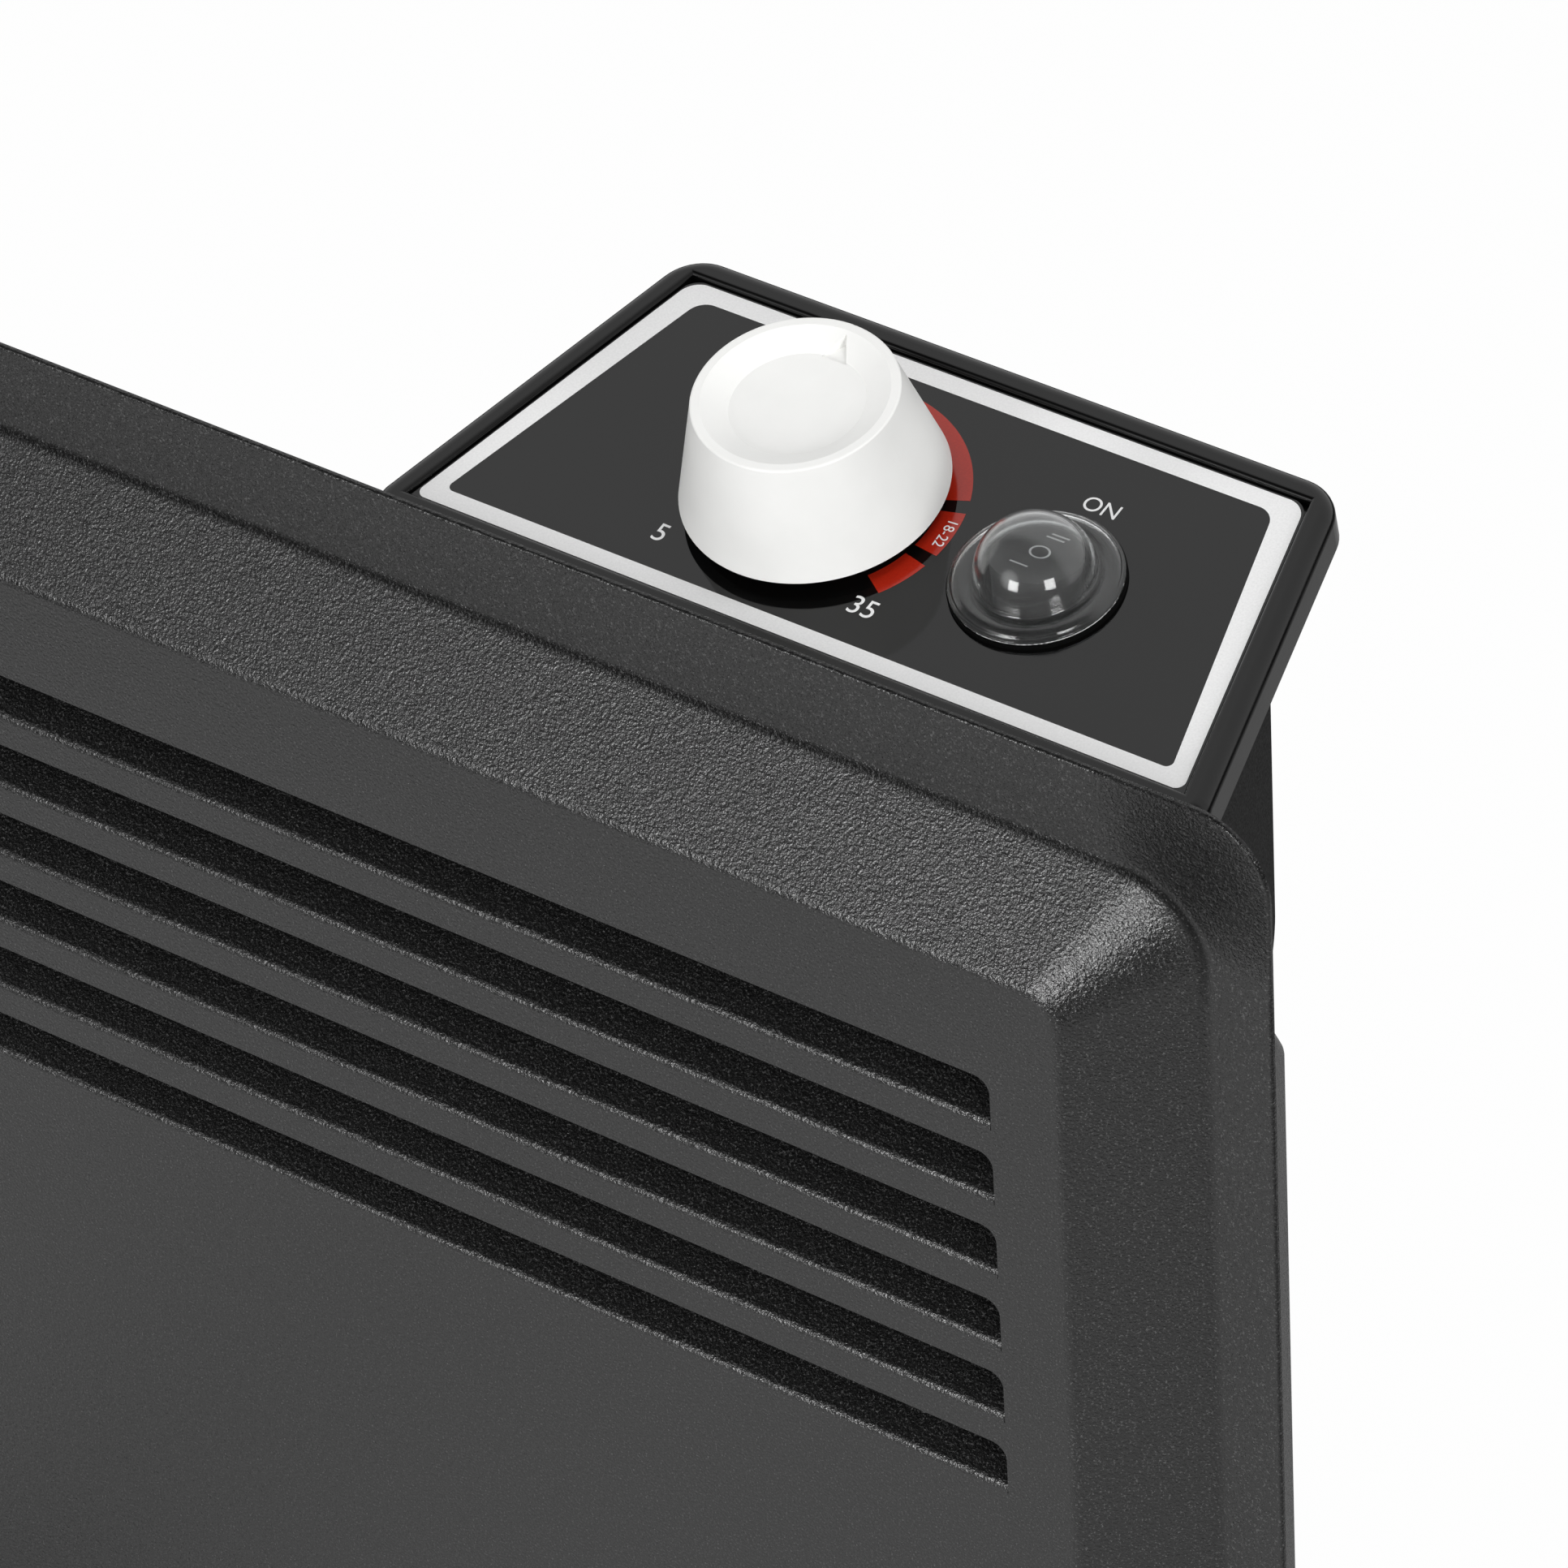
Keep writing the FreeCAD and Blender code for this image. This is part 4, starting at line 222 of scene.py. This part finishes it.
# Sensing bulb, capillary tube, thermostat shaft and switch blades
# Drawn copper with darker tarnish, and plated brass with light wear, both in patches about 6 mm wide.
tarnish_width = 6.25
for name, stops, names in (
        ("drawn_copper", [(0.3, "#8a4f33"), (0.6, "#b8754f"), (0.8, "#a8623f")],
         ("sensing_bulb", "capillary_tube")),
        ("plated_brass", [(0.3, "#b39b62"), (0.7, "#cdb983")], ("thermostat_shaft", "switch_blades"))):
    metal, tree, shader, place = surface(name, Metallic=1.0)
    tarnish = add(tree, "TexNoise", {"Vector": place, "Scale": grit(tarnish_width),
                                     "Detail": 6.0}).outputs["Fac"]
    rough = add(tree, "MapRange", {"Value": tarnish, "From Min": 0.3, "From Max": 0.7,
                                   "To Min": 0.24, "To Max": 0.46})
    feed(tree, shader, {"Base Color": add(tree, "ValToRGB", {"Fac": tarnish}, stops).outputs["Color"],
                        "Roughness": rough.outputs["Result"]})
    dress(metal, *names)

# Inner wires
# Copper leads in braided glass-fibre sleeve: matt off-white threads cross the lead at a slant, about 1.1 mm
# apart. A slanting wave's bands lie 0.363 of the size in its scale apart.
thread_pitch, thread_depth, band_share = 1.13, 0.12 * MM, 0.363
sleeve, tree, shader, place = surface("braided_sleeve", Roughness=0.75)
threads = add(tree, "TexWave", {"Vector": place, "Scale": grit(thread_pitch / band_share),
                                "Distortion": 1.5}, bands_direction="DIAGONAL").outputs["Fac"]
colour = add(tree, "ValToRGB", {"Fac": threads}, [(0.2, "#b9b3a4"), (0.7, "#e2ddd0")])
bump = add(tree, "Bump", {"Height": threads, "Strength": 0.6, "Distance": thread_depth})
feed(tree, shader, {"Base Color": colour.outputs["Color"], "Normal": bump.outputs["Normal"]})
dress(sleeve, "inner_wires")

# Floor feet, control housing, switch body, cord gland
# Moulded black plastic with a spark-eroded texture: matt on the housing and switch, fine on the gland and
# coarser on the feet. The housing and feet are screwed to the case; the switch sits in the bezel's hole.
for name, shine, spark_width, spark_depth, stops, names in (
        ("matt_black_plastic", 0.03, 0.455, 0.03 * MM, [(0.3, "#0a0a0a"), (0.7, "#0f0f0f")],
         ("control_housing", "switch_body")),
        ("textured_black_plastic", 0.5, 0.455, 0.03 * MM, [(0.3, "#0d0d0d"), (0.7, "#121212")],
         ("cord_gland", "gland_nut")),
        ("foot_black_plastic", 0.5, 0.77, 0.06 * MM, [(0.3, "#141414"), (0.7, "#1b1b1b")],
         ("foot_left", "foot_right"))):
    plastic, tree, shader, place = surface(name, Specular_IOR_Level=shine)
    spark = add(tree, "TexNoise", {"Vector": place, "Scale": grit(spark_width),
                                   "Detail": 2.0}).outputs["Fac"]
    rough = add(tree, "MapRange", {"Value": spark, "From Min": 0.3, "From Max": 0.7,
                                   "To Min": 0.42, "To Max": 0.6})
    bump = add(tree, "Bump", {"Height": spark, "Strength": 0.8, "Distance": spark_depth})
    feed(tree, shader, {"Base Color": add(tree, "ValToRGB", {"Fac": spark}, stops).outputs["Color"],
                        "Roughness": rough.outputs["Result"], "Normal": bump.outputs["Normal"]})
    dress(plastic, *names)

# Rubber pads and grommet
# Moulded black rubber, matt with a dusty bloom in patches about 3 mm wide.
# The pads sit under the feet; the grommet lines the wire hole in the housing's floor and the tray's roof.
dust_width, dust_depth = 3.33, 0.08 * MM
rubber, tree, shader, place = surface("black_rubber", Roughness=0.85)
dust = add(tree, "TexNoise", {"Vector": place, "Scale": grit(dust_width), "Detail": 6.0}).outputs["Fac"]
colour = add(tree, "ValToRGB", {"Fac": dust}, [(0.35, "#151515"), (0.75, "#262523")])
bump = add(tree, "Bump", {"Height": dust, "Strength": 0.4, "Distance": dust_depth})
feed(tree, shader, {"Base Color": colour.outputs["Color"], "Normal": bump.outputs["Normal"]})
dress(rubber, "foot_pads", "wire_grommet")

# Control bezel
# Gloss black moulded plastic on the housing, a little softer than a mirror.
# Handling marks about 17 mm wide change its gloss, and a fine flow texture breaks its reflections.
smear_width, flow_width, flow_depth = 16.7, 1.11, 0.02 * MM
gloss_black, tree, shader, place = surface("gloss_black_plastic", Specular_IOR_Level=0.36)
smear = add(tree, "TexNoise", {"Vector": place, "Scale": grit(smear_width), "Detail": 5.0}).outputs["Fac"]
flow = add(tree, "TexNoise", {"Vector": place, "Scale": grit(flow_width), "Detail": 1.0}).outputs["Fac"]
colour = add(tree, "ValToRGB", {"Fac": smear}, [(0.3, "#070707"), (0.7, "#0b0b0b")])
rough = add(tree, "MapRange", {"Value": smear, "From Min": 0.3, "From Max": 0.7,
                               "To Min": 0.16, "To Max": 0.26})
bump = add(tree, "Bump", {"Height": flow, "Strength": 0.2, "Distance": flow_depth})
feed(tree, shader, {"Base Color": colour.outputs["Color"], "Roughness": rough.outputs["Result"],
                    "Normal": bump.outputs["Normal"]})
dress(gloss_black, "control_bezel")

# Control overlay and its print
# A gloss printed plastic sheet laid in the bezel: black field, white border band, red heat arc in three
# parts and plain white figures. Sizes are in millimetres from the middle of the fascia's front line.
fascia_spot, fascia_tilt = (133.6 * MM, -19.0 * MM, 437.7 * MM), 11.0
fascia = Matrix.Translation(fascia_spot) @ Matrix.Rotation(math.radians(fascia_tilt), 4, "X")
overlay_smear_width = 22.2
sheet, tree, shader, place = surface("gloss_black_sheet", Specular_IOR_Level=0.45)
smear = add(tree, "TexNoise", {"Vector": place, "Scale": grit(overlay_smear_width),
                               "Detail": 6.0}).outputs["Fac"]
colour = add(tree, "ValToRGB", {"Fac": smear}, [(0.3, "#050505"), (0.7, "#080808")])
rough = add(tree, "MapRange", {"Value": smear, "From Min": 0.3, "From Max": 0.7,
                               "To Min": 0.04, "To Max": 0.09})
feed(tree, shader, {"Base Color": colour.outputs["Color"], "Roughness": rough.outputs["Result"]})
dress(sheet, "control_overlay")

# Screen-printed ink: flat colour with the faint weave of the screen, about 0.4 mm.
weave_width = 0.4
inks = {}
for name, stops in (("white_ink", [(0.3, "#e2e2e2"), (0.7, "#ececec")]),
                    ("red_ink", [(0.3, "#9c2010"), (0.7, "#a82512")])):
    ink, tree, shader, place = surface(name)
    weave = add(tree, "TexNoise", {"Vector": place, "Scale": grit(weave_width),
                                   "Detail": 2.0}).outputs["Fac"]
    rough = add(tree, "MapRange", {"Value": weave, "To Min": 0.12, "To Max": 0.22})
    feed(tree, shader, {"Base Color": add(tree, "ValToRGB", {"Fac": weave}, stops).outputs["Color"],
                        "Roughness": rough.outputs["Result"]})
    inks[name] = ink


def piece(name, mesh, material, body, matrix):
    """A new piece in the scene, in place and riding on its body."""
    obj = bpy.data.objects.new(name, mesh)
    bpy.context.scene.collection.objects.link(obj)
    obj.matrix_world = matrix
    mesh.materials.append(material)
    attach(obj, body)
    return obj


def soft_corners(corners, steps=10):
    """A closed line through corners (x, y, radius) with each corner turned into an arc."""
    line = []
    for index, (x, y, radius) in enumerate(corners):
        here = Vector((x, y))
        before = (Vector(corners[index - 1][:2]) - here).normalized()
        after = (Vector(corners[(index + 1) % len(corners)][:2]) - here).normalized()
        half = before.angle(after) / 2
        middle = here + (before + after).normalized() * (radius / math.sin(half))
        first = here + before * (radius / math.tan(half)) - middle
        last = here + after * (radius / math.tan(half)) - middle
        for step in range(steps + 1):
            spoke = first.lerp(last, step / steps).normalized() * radius
            line.append(middle + spoke)
    return line


def band_mesh(name, outer, inner, closed, height):
    """A flat strip between two lines with the same number of points."""
    mesh = bpy.data.meshes.new(name)
    count = len(outer)
    points = [(p[0] * MM, p[1] * MM, height) for line in (outer, inner) for p in line]
    faces = []
    for index in range(count if closed else count - 1):
        after = (index + 1) % count
        faces.append((index, after, count + after, count + index))
    mesh.from_pydata(points, [], faces)
    return mesh


print_lift, figure_lift = 0.03 * MM, 0.054 * MM
border_outer = soft_corners([(-75.4, 0.35, 1.6), (75.4, 0.35, 1.6), (60.5, 61.5, 4.0), (-60.5, 61.5, 4.0)])
border_inner = soft_corners([(-71.3, 3.6, 1.2), (71.3, 3.6, 1.2), (56.6, 58.0, 3.6), (-56.6, 58.0, 3.6)])
border_mesh = band_mesh("overlay_border_print", border_outer, border_inner, True, print_lift)
piece("overlay_border_print", border_mesh, inks["white_ink"], "case", fascia)

knob_middle = Vector((-13.6, 29.2))
arc_outer, arc_inner, arc_step, arc_fewest = 25.6, 21.0, 2.0, 6
for name, start, stop in (("heat_arc_long_print", 22.0, 128.0), ("heat_arc_block_print", -7.0, 15.5),
                          ("heat_arc_end_print", -33.4, -13.0)):
    steps = max(arc_fewest, int((stop - start) / arc_step))
    turns = [math.radians(start + (stop - start) * k / steps) for k in range(steps + 1)]
    lines = [[knob_middle + Vector((math.cos(t), math.sin(t))) * radius for t in turns]
             for radius in (arc_outer, arc_inner)]
    arc_mesh = band_mesh(name, *lines, False, print_lift)
    piece(name, arc_mesh, inks["red_ink"], "case", fascia)

block_turn, block_reach = math.radians(4.2), 24.0
block_spot = knob_middle + Vector((math.cos(block_turn), math.sin(block_turn))) * block_reach
for name, text, (x, y), tall, turn in (
        ("figure_low", "5", (-32.5, 10.7), 5.4, 0.0),
        ("figure_high", "35", (7.2, 11.2), 5.4, 0.0),
        ("figure_middle", "18-22", block_spot, 2.7, -86.0),
        ("figure_switch", "ON", (30.6, 46.6), 4.4, 0.0)):
    letters = bpy.data.curves.new(name, "FONT")
    letters.body = text
    letters.size = tall * MM
    letters.align_x = "CENTER"
    letters.align_y = "CENTER"
    stand = Matrix.Translation((x * MM, y * MM, figure_lift)) @ Matrix.Rotation(math.radians(turn), 4, "Z")
    piece(name, letters, inks["white_ink"], "case", fascia @ stand)

# Thermostat knob
# A white moulded cap pushed onto the thermostat's shaft: satin, with a fine flow texture.
# It is faintly greyer and duller in patches about 14 mm wide, where fingers hold it.
hands_width, flow_width, flow_depth = 14.3, 0.625, 0.02 * MM
white_cap, tree, shader, place = surface("white_moulded_plastic")
hands = add(tree, "TexNoise", {"Vector": place, "Scale": grit(hands_width), "Detail": 5.0}).outputs["Fac"]
flow = add(tree, "TexNoise", {"Vector": place, "Scale": grit(flow_width), "Detail": 2.0}).outputs["Fac"]
colour = add(tree, "ValToRGB", {"Fac": hands}, [(0.3, "#ededeb"), (0.7, "#f3f3f1")])
rough = add(tree, "MapRange", {"Value": hands, "From Min": 0.3, "From Max": 0.7,
                               "To Min": 0.34, "To Max": 0.46})
bump = add(tree, "Bump", {"Height": flow, "Strength": 0.25, "Distance": flow_depth})
feed(tree, shader, {"Base Color": colour.outputs["Color"], "Roughness": rough.outputs["Result"],
                    "Normal": bump.outputs["Normal"]})
dress(white_cap, "thermostat_knob")

# Switch rocker and its marks
# A dark grey moulded rocker with a fine matt texture, tilting on two stub pins in the switch body.
# Its three positions are printed on it in white: one bar, a ring and two bars.
rocker_spark_width = 0.5
rocker_stuff, tree, shader, place = surface("grey_moulded_plastic")
spark = add(tree, "TexNoise", {"Vector": place, "Scale": grit(rocker_spark_width),
                               "Detail": 2.0}).outputs["Fac"]
colour = add(tree, "ValToRGB", {"Fac": spark}, [(0.3, "#2b2b2b"), (0.7, "#343434")])
rough = add(tree, "MapRange", {"Value": spark, "To Min": 0.5, "To Max": 0.64})
feed(tree, shader, {"Base Color": colour.outputs["Color"], "Roughness": rough.outputs["Result"]})
dress(rocker_stuff, "switch_rocker")

switch_middle = Vector((30.0, 28.3))
pivot_drop, rest_lean = 1.0, 10.0
rocker_reach, rocker_high, rocker_hollow, mark_lift = 7.6, 6.2, 0.5, 0.03
rocker_frame = fascia @ Matrix.Translation((switch_middle.x * MM, switch_middle.y * MM, -pivot_drop * MM))
rocker_frame = rocker_frame @ Matrix.Rotation(math.radians(-rest_lean), 4, "X")


def rocker_top(v):
    """Height of the rocker's hollowed top over its pivot, with the print's own thickness."""
    return rocker_high + abs(v) * rocker_hollow / rocker_reach + mark_lift


bar_half_long, bar_half_wide = 1.7, 0.17
ring_outer, ring_inner, ring_squash, ring_across, ring_up, ring_steps = 1.88, 1.5, 0.82, -0.1, 1.1, 48
points = []
faces = []
for middle, v in ((-1.3, -3.2), (0.4, 4.95), (0.9, 5.85)):
    faces.append(tuple(range(len(points), len(points) + 4)))
    for end, side in ((-1, -1), (1, -1), (1, 1), (-1, 1)):
        bar_edge = v + side * bar_half_wide
        points.append(((middle + end * bar_half_long) * MM, bar_edge * MM, rocker_top(bar_edge) * MM))
start = len(points)
for radius in (ring_outer, ring_inner):
    for k in range(ring_steps):
        turn = 2 * math.pi * k / ring_steps
        u = math.cos(turn) * radius + ring_across
        v = math.sin(turn) * radius * ring_squash + ring_up
        points.append((u * MM, v * MM, rocker_top(v) * MM))
for k in range(ring_steps):
    after = (k + 1) % ring_steps
    faces.append((start + k, start + after, start + ring_steps + after, start + ring_steps + k))
marks_mesh = bpy.data.meshes.new("rocker_marks_print")
marks_mesh.from_pydata(points, [], faces)
piece("rocker_marks_print", marks_mesh, inks["white_ink"], "rocker", rocker_frame)

# Switch hood
# A soft clear moulded cover that clips over the switch ring: a thin bulged rim and a round dome.
# It is a little hazy. The dome is smooth; the rim is stippled, with grains about 0.4 mm wide.
haze_width, stipple_width = 3.85, 0.417
hood_stuff = []
for name, clear, low, high, stipple_depth in (("clear_soft_plastic", 0.965, 0.05, 0.08, 0.0002 * MM),
                                              ("stippled_soft_plastic", 0.98, 0.04, 0.1, 0.04 * MM)):
    stuff, tree, shader, place = surface(name, IOR=1.43, Transmission_Weight=clear)
    haze = add(tree, "TexNoise", {"Vector": place, "Scale": grit(haze_width), "Detail": 6.0}).outputs["Fac"]
    stipple = add(tree, "TexNoise", {"Vector": place, "Scale": grit(stipple_width),
                                     "Detail": 1.0}).outputs["Fac"]
    colour = add(tree, "ValToRGB", {"Fac": haze}, [(0.3, "#e6e8e8"), (0.7, "#eff0f0")])
    rough = add(tree, "MapRange", {"Value": haze, "From Min": 0.35, "From Max": 0.75,
                                   "To Min": low, "To Max": high})
    bump = add(tree, "Bump", {"Height": stipple, "Strength": 0.6, "Distance": stipple_depth})
    feed(tree, shader, {"Base Color": colour.outputs["Color"], "Roughness": rough.outputs["Result"],
                        "Normal": bump.outputs["Normal"]})
    hood_stuff.append(stuff)


def lathe(name, profile, steps=128):
    """A turned mesh from a closed line of (radius, height) points; one on the axis stays one vertex."""
    shape = bmesh.new()
    turns = [2 * math.pi * k / steps for k in range(steps)]
    rings = []
    for radius, height in profile:
        around = [(math.cos(t) * radius, math.sin(t) * radius) for t in turns] if radius > 0 else [(0, 0)]
        rings.append([shape.verts.new((x * MM, y * MM, height * MM)) for x, y in around])
    for first, last in zip(rings, rings[1:] + rings[:1]):
        for k in range(steps):
            after = (k + 1) % steps
            loop = [ring[index % len(ring)] for ring, index in
                    ((first, k), (first, after), (last, after), (last, k))]
            unique = list(dict.fromkeys(loop))
            if len(unique) > 2:
                shape.faces.new(unique)
    bmesh.ops.recalc_face_normals(shape, faces=shape.faces)
    mesh = bpy.data.meshes.new(name)
    shape.to_mesh(mesh)
    shape.free()
    mesh.shade_smooth()
    return mesh


def ball(radius, middle, foot, steps=40):
    """A ball's line from its foot to just before its top."""
    low = math.asin((foot - middle) / radius)
    turns = [low + (math.pi / 2 - low) * k / steps for k in range(steps)]
    return [(radius * math.cos(t), middle + radius * math.sin(t)) for t in turns]


rim_line = [(14.1, 0.82), (14.5, 0.86), (14.6, 1.0), (14.6, 1.35), (14.5, 1.55), (14.25, 1.65),
            (14.1, 1.72), (14.0, 1.95), (13.8, 2.25), (13.4, 2.52), (12.9, 2.68), (12.3, 2.72),
            (11.8, 2.68), (11.4, 2.6), (11.1, 2.52), (10.9, 2.48), (10.65, 2.52), (10.45, 2.7)]
under_rim = [(9.6, 2.3), (9.95, 1.9), (10.6, 1.78), (11.4, 1.9), (12.3, 2.0), (13.1, 1.85), (13.6, 1.5),
             (13.8, 0.82)]
dome_outer, dome_inner, dome_middle, outer_foot, inner_foot = 10.3, 9.6, 2.3, 3.1, 2.8
outside = ball(dome_outer, dome_middle, outer_foot) + [(0.0, dome_middle + dome_outer)]
inside = ball(dome_inner, dome_middle, inner_foot) + [(0.0, dome_middle + dome_inner)]
stipple_start = 10.4
hood = piece("switch_hood_clear", lathe("switch_hood_clear", rim_line + outside + inside[::-1] + under_rim),
             hood_stuff[0], "case",
             fascia @ Matrix.Translation((switch_middle.x * MM, switch_middle.y * MM, 0)))
hood.data.materials.append(hood_stuff[1])
for face in hood.data.polygons:
    face.material_index = int(face.center.xy.length > stipple_start * MM)
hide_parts("switch_hood")

# Floor
# A matt pale floor that runs out of sight just under the pads. Toward the right and far away it is darker,
# which only reflections show: the camera sees it white, with a soft contact shadow, and clear from below.
floor_half, floor_drop, mottle_width = 6.0, 0.2 * MM, 333.0
fade_near, fade_far = 0.75, 1.4
right_reach, right_most = 0.6, 0.5
seen_white = 0.98
contact_reach, contact_dark = 0.2, 0.45
floor_corners = [(x * floor_half, y * floor_half, -floor_drop)
                 for x, y in ((-1, -1), (1, -1), (1, 1), (-1, 1))]
floor_mesh = bpy.data.meshes.new("floor")
floor_mesh.from_pydata(floor_corners, [], [(0, 1, 2, 3)])
floor = bpy.data.objects.new("floor", floor_mesh)
bpy.context.scene.collection.objects.link(floor)
pale_floor, tree, shader, place = surface("pale_floor", Roughness=0.9, Specular_IOR_Level=0.1)
mottle = add(tree, "TexNoise", {"Vector": place, "Scale": grit(mottle_width), "Detail": 3.0}).outputs["Fac"]
colour = add(tree, "ValToRGB", {"Fac": mottle}, [(0.3, "#c9c9c9"), (0.7, "#cdcdcd")]).outputs["Color"]
across = add(tree, "SeparateXYZ", {"Vector": place}).outputs["X"]
reach = add(tree, "VectorMath", {0: place}, operation="LENGTH").outputs["Value"]
fall = add(tree, "MapRange", {"Value": across, "From Max": right_reach,
                              "To Max": right_most}).outputs["Result"]
far = add(tree, "MapRange", {"Value": reach, "From Min": fade_near, "From Max": fade_far}).outputs["Result"]
shade = add(tree, "Mix", {"Factor": fall, "A": colour, "B": srgb("#6e6e6e")},
            data_type="RGBA").outputs["Result"]
dusk = add(tree, "Mix", {"Factor": far, "A": shade, "B": srgb("#2a2a2a")},
           data_type="RGBA").outputs["Result"]
feed(tree, shader, {"Base Color": dusk})
ray = add(tree, "LightPath").outputs["Is Camera Ray"]
share = add(tree, "Math", {0: ray, 1: seen_white}, operation="MULTIPLY").outputs["Value"]
open_sky = add(tree, "AmbientOcclusion", {"Distance": contact_reach}, samples=16).outputs["AO"]
contact = add(tree, "MapRange", {"Value": open_sky, "From Min": 0.1, "From Max": 0.98,
                                 "To Min": contact_dark, "To Max": 1.0}).outputs["Result"]
white = add(tree, "Emission", {"Strength": contact}).outputs["Emission"]
blend = add(tree, "MixShader", {"Fac": share, 1: shader.outputs["BSDF"], 2: white}).outputs["Shader"]
below = add(tree, "NewGeometry").outputs["Backfacing"]
clear = add(tree, "BsdfTransparent").outputs["BSDF"]
sheer = add(tree, "MixShader", {"Fac": below, 1: blend, 2: clear}).outputs["Shader"]
feed(tree, tree.nodes["Material Output"], {"Surface": sheer})
floor_mesh.materials.append(pale_floor)

# Lamps
# Two low soft boxes, in front and at the right, whose reflections show in the coat and the hood.
# A third lamp overhead lights the knob and isn't reflected. Each has a turn, a rise, a side and a power.
lamp_aim, lamp_far = Vector((0.08, -0.02, 0.38)), 1.6
for name, turn, rise, side, power, mirrored in (("soft_box_left", -3.0, 9.0, 0.5, 9.5, True),
                                                ("soft_box_right", 63.0, 14.0, 0.5, 9.5, True),
                                                ("overhead_box", 120.0, 74.0, 0.45, 5.2, False)):
    turn, rise = math.radians(turn), math.radians(rise)
    away = Vector((math.sin(turn) * math.cos(rise), -math.cos(turn) * math.cos(rise), math.sin(rise)))
    lamp = bpy.data.lights.new(name, "AREA")
    lamp.shape = "SQUARE"
    lamp.size = side
    lamp.energy = power
    lamp_object = bpy.data.objects.new(name, lamp)
    bpy.context.scene.collection.objects.link(lamp_object)
    lamp_object.visible_glossy = mirrored
    lamp_object.visible_transmission = mirrored
    facing = away.to_track_quat("Z", "Y").to_matrix().to_4x4()
    lamp_object.matrix_world = Matrix.Translation(lamp_aim + away * lamp_far) @ facing

# World
# White surroundings, as the camera sees them. Reflections find them grey in front, dark overhead and near
# the horizon, white behind the heater, and with a soft glow beside the left soft box.
soft_light, grey_wall, dark_top, dark_foot = 0.6, 0.33, 0.02, 0.06
glow_way, glow_edge, glow_full, glow_bright = (-0.2686, -0.9366, 0.2250), 0.94, 0.9925, 2.4
world = bpy.data.worlds.new("white_surroundings")
bpy.context.scene.world = world
world.use_nodes = True
tree = world.node_tree
path = add(tree, "LightPath").outputs
toward = add(tree, "TexCoord").outputs["Generated"]
way = add(tree, "SeparateXYZ", {"Vector": toward}).outputs
high = add(tree, "MapRange", {"Value": way["Z"], "From Min": 0.45, "From Max": 0.7,
                              "To Min": grey_wall, "To Max": dark_top}).outputs["Result"]
low = add(tree, "MapRange", {"Value": way["Z"], "From Min": 0.04, "From Max": 0.22,
                             "To Min": dark_foot, "To Max": grey_wall}).outputs["Result"]
wall = add(tree, "Math", {0: high, 1: low}, operation="MINIMUM").outputs["Value"]
near = add(tree, "VectorMath", {0: toward, 1: glow_way}, operation="DOT_PRODUCT").outputs["Value"]
glow = add(tree, "MapRange", {"Value": near, "From Min": glow_edge, "From Max": glow_full,
                              "To Max": glow_bright}).outputs["Result"]
front = add(tree, "Math", {0: wall, 1: glow}, operation="ADD").outputs["Value"]
back = add(tree, "MapRange", {"Value": way["Y"], "From Min": -0.05, "From Max": 0.25}).outputs["Result"]
mirrored = add(tree, "Mix", {"Factor": back, "A": front, "B": 1.0}, data_type="FLOAT").outputs["Result"]
mirrored = add(tree, "Math", {0: mirrored, 1: path["Is Camera Ray"]}, operation="MAXIMUM").outputs["Value"]
seen = add(tree, "Math", {0: path["Is Camera Ray"], 1: path["Is Glossy Ray"]},
           operation="MAXIMUM").outputs["Value"]
seen = add(tree, "Math", {0: seen, 1: path["Is Transmission Ray"]}, operation="MAXIMUM").outputs["Value"]
strength = add(tree, "Mix", {"Factor": seen, "A": soft_light, "B": mirrored},
               data_type="FLOAT").outputs["Result"]
feed(tree, tree.nodes["Background"], {"Color": (1.0, 1.0, 1.0, 1.0), "Strength": strength})

# Camera
# A long lens from the upper right, as the photograph was taken.
# Its place and axes were fitted to the panel's edges, the louvres, the knob and the hood.
camera_spot = Vector((0.8342, -0.9453, 1.3345))
camera_axes = Matrix(((0.8191, -0.3251, 0.4727), (0.5715, 0.5344, -0.6227), (-0.0502, 0.7802, 0.6235)))
camera = bpy.data.cameras.new("camera")
camera.sensor_width = 36.0
camera.lens = 209.46
camera.clip_start = 0.05
camera_object = bpy.data.objects.new("camera", camera)
bpy.context.scene.collection.objects.link(camera_object)
camera_object.matrix_world = Matrix.LocRotScale(camera_spot, camera_axes.to_quaternion().normalized(), None)
bpy.context.scene.camera = camera_object
bpy.context.scene.view_settings.view_transform = "Standard"
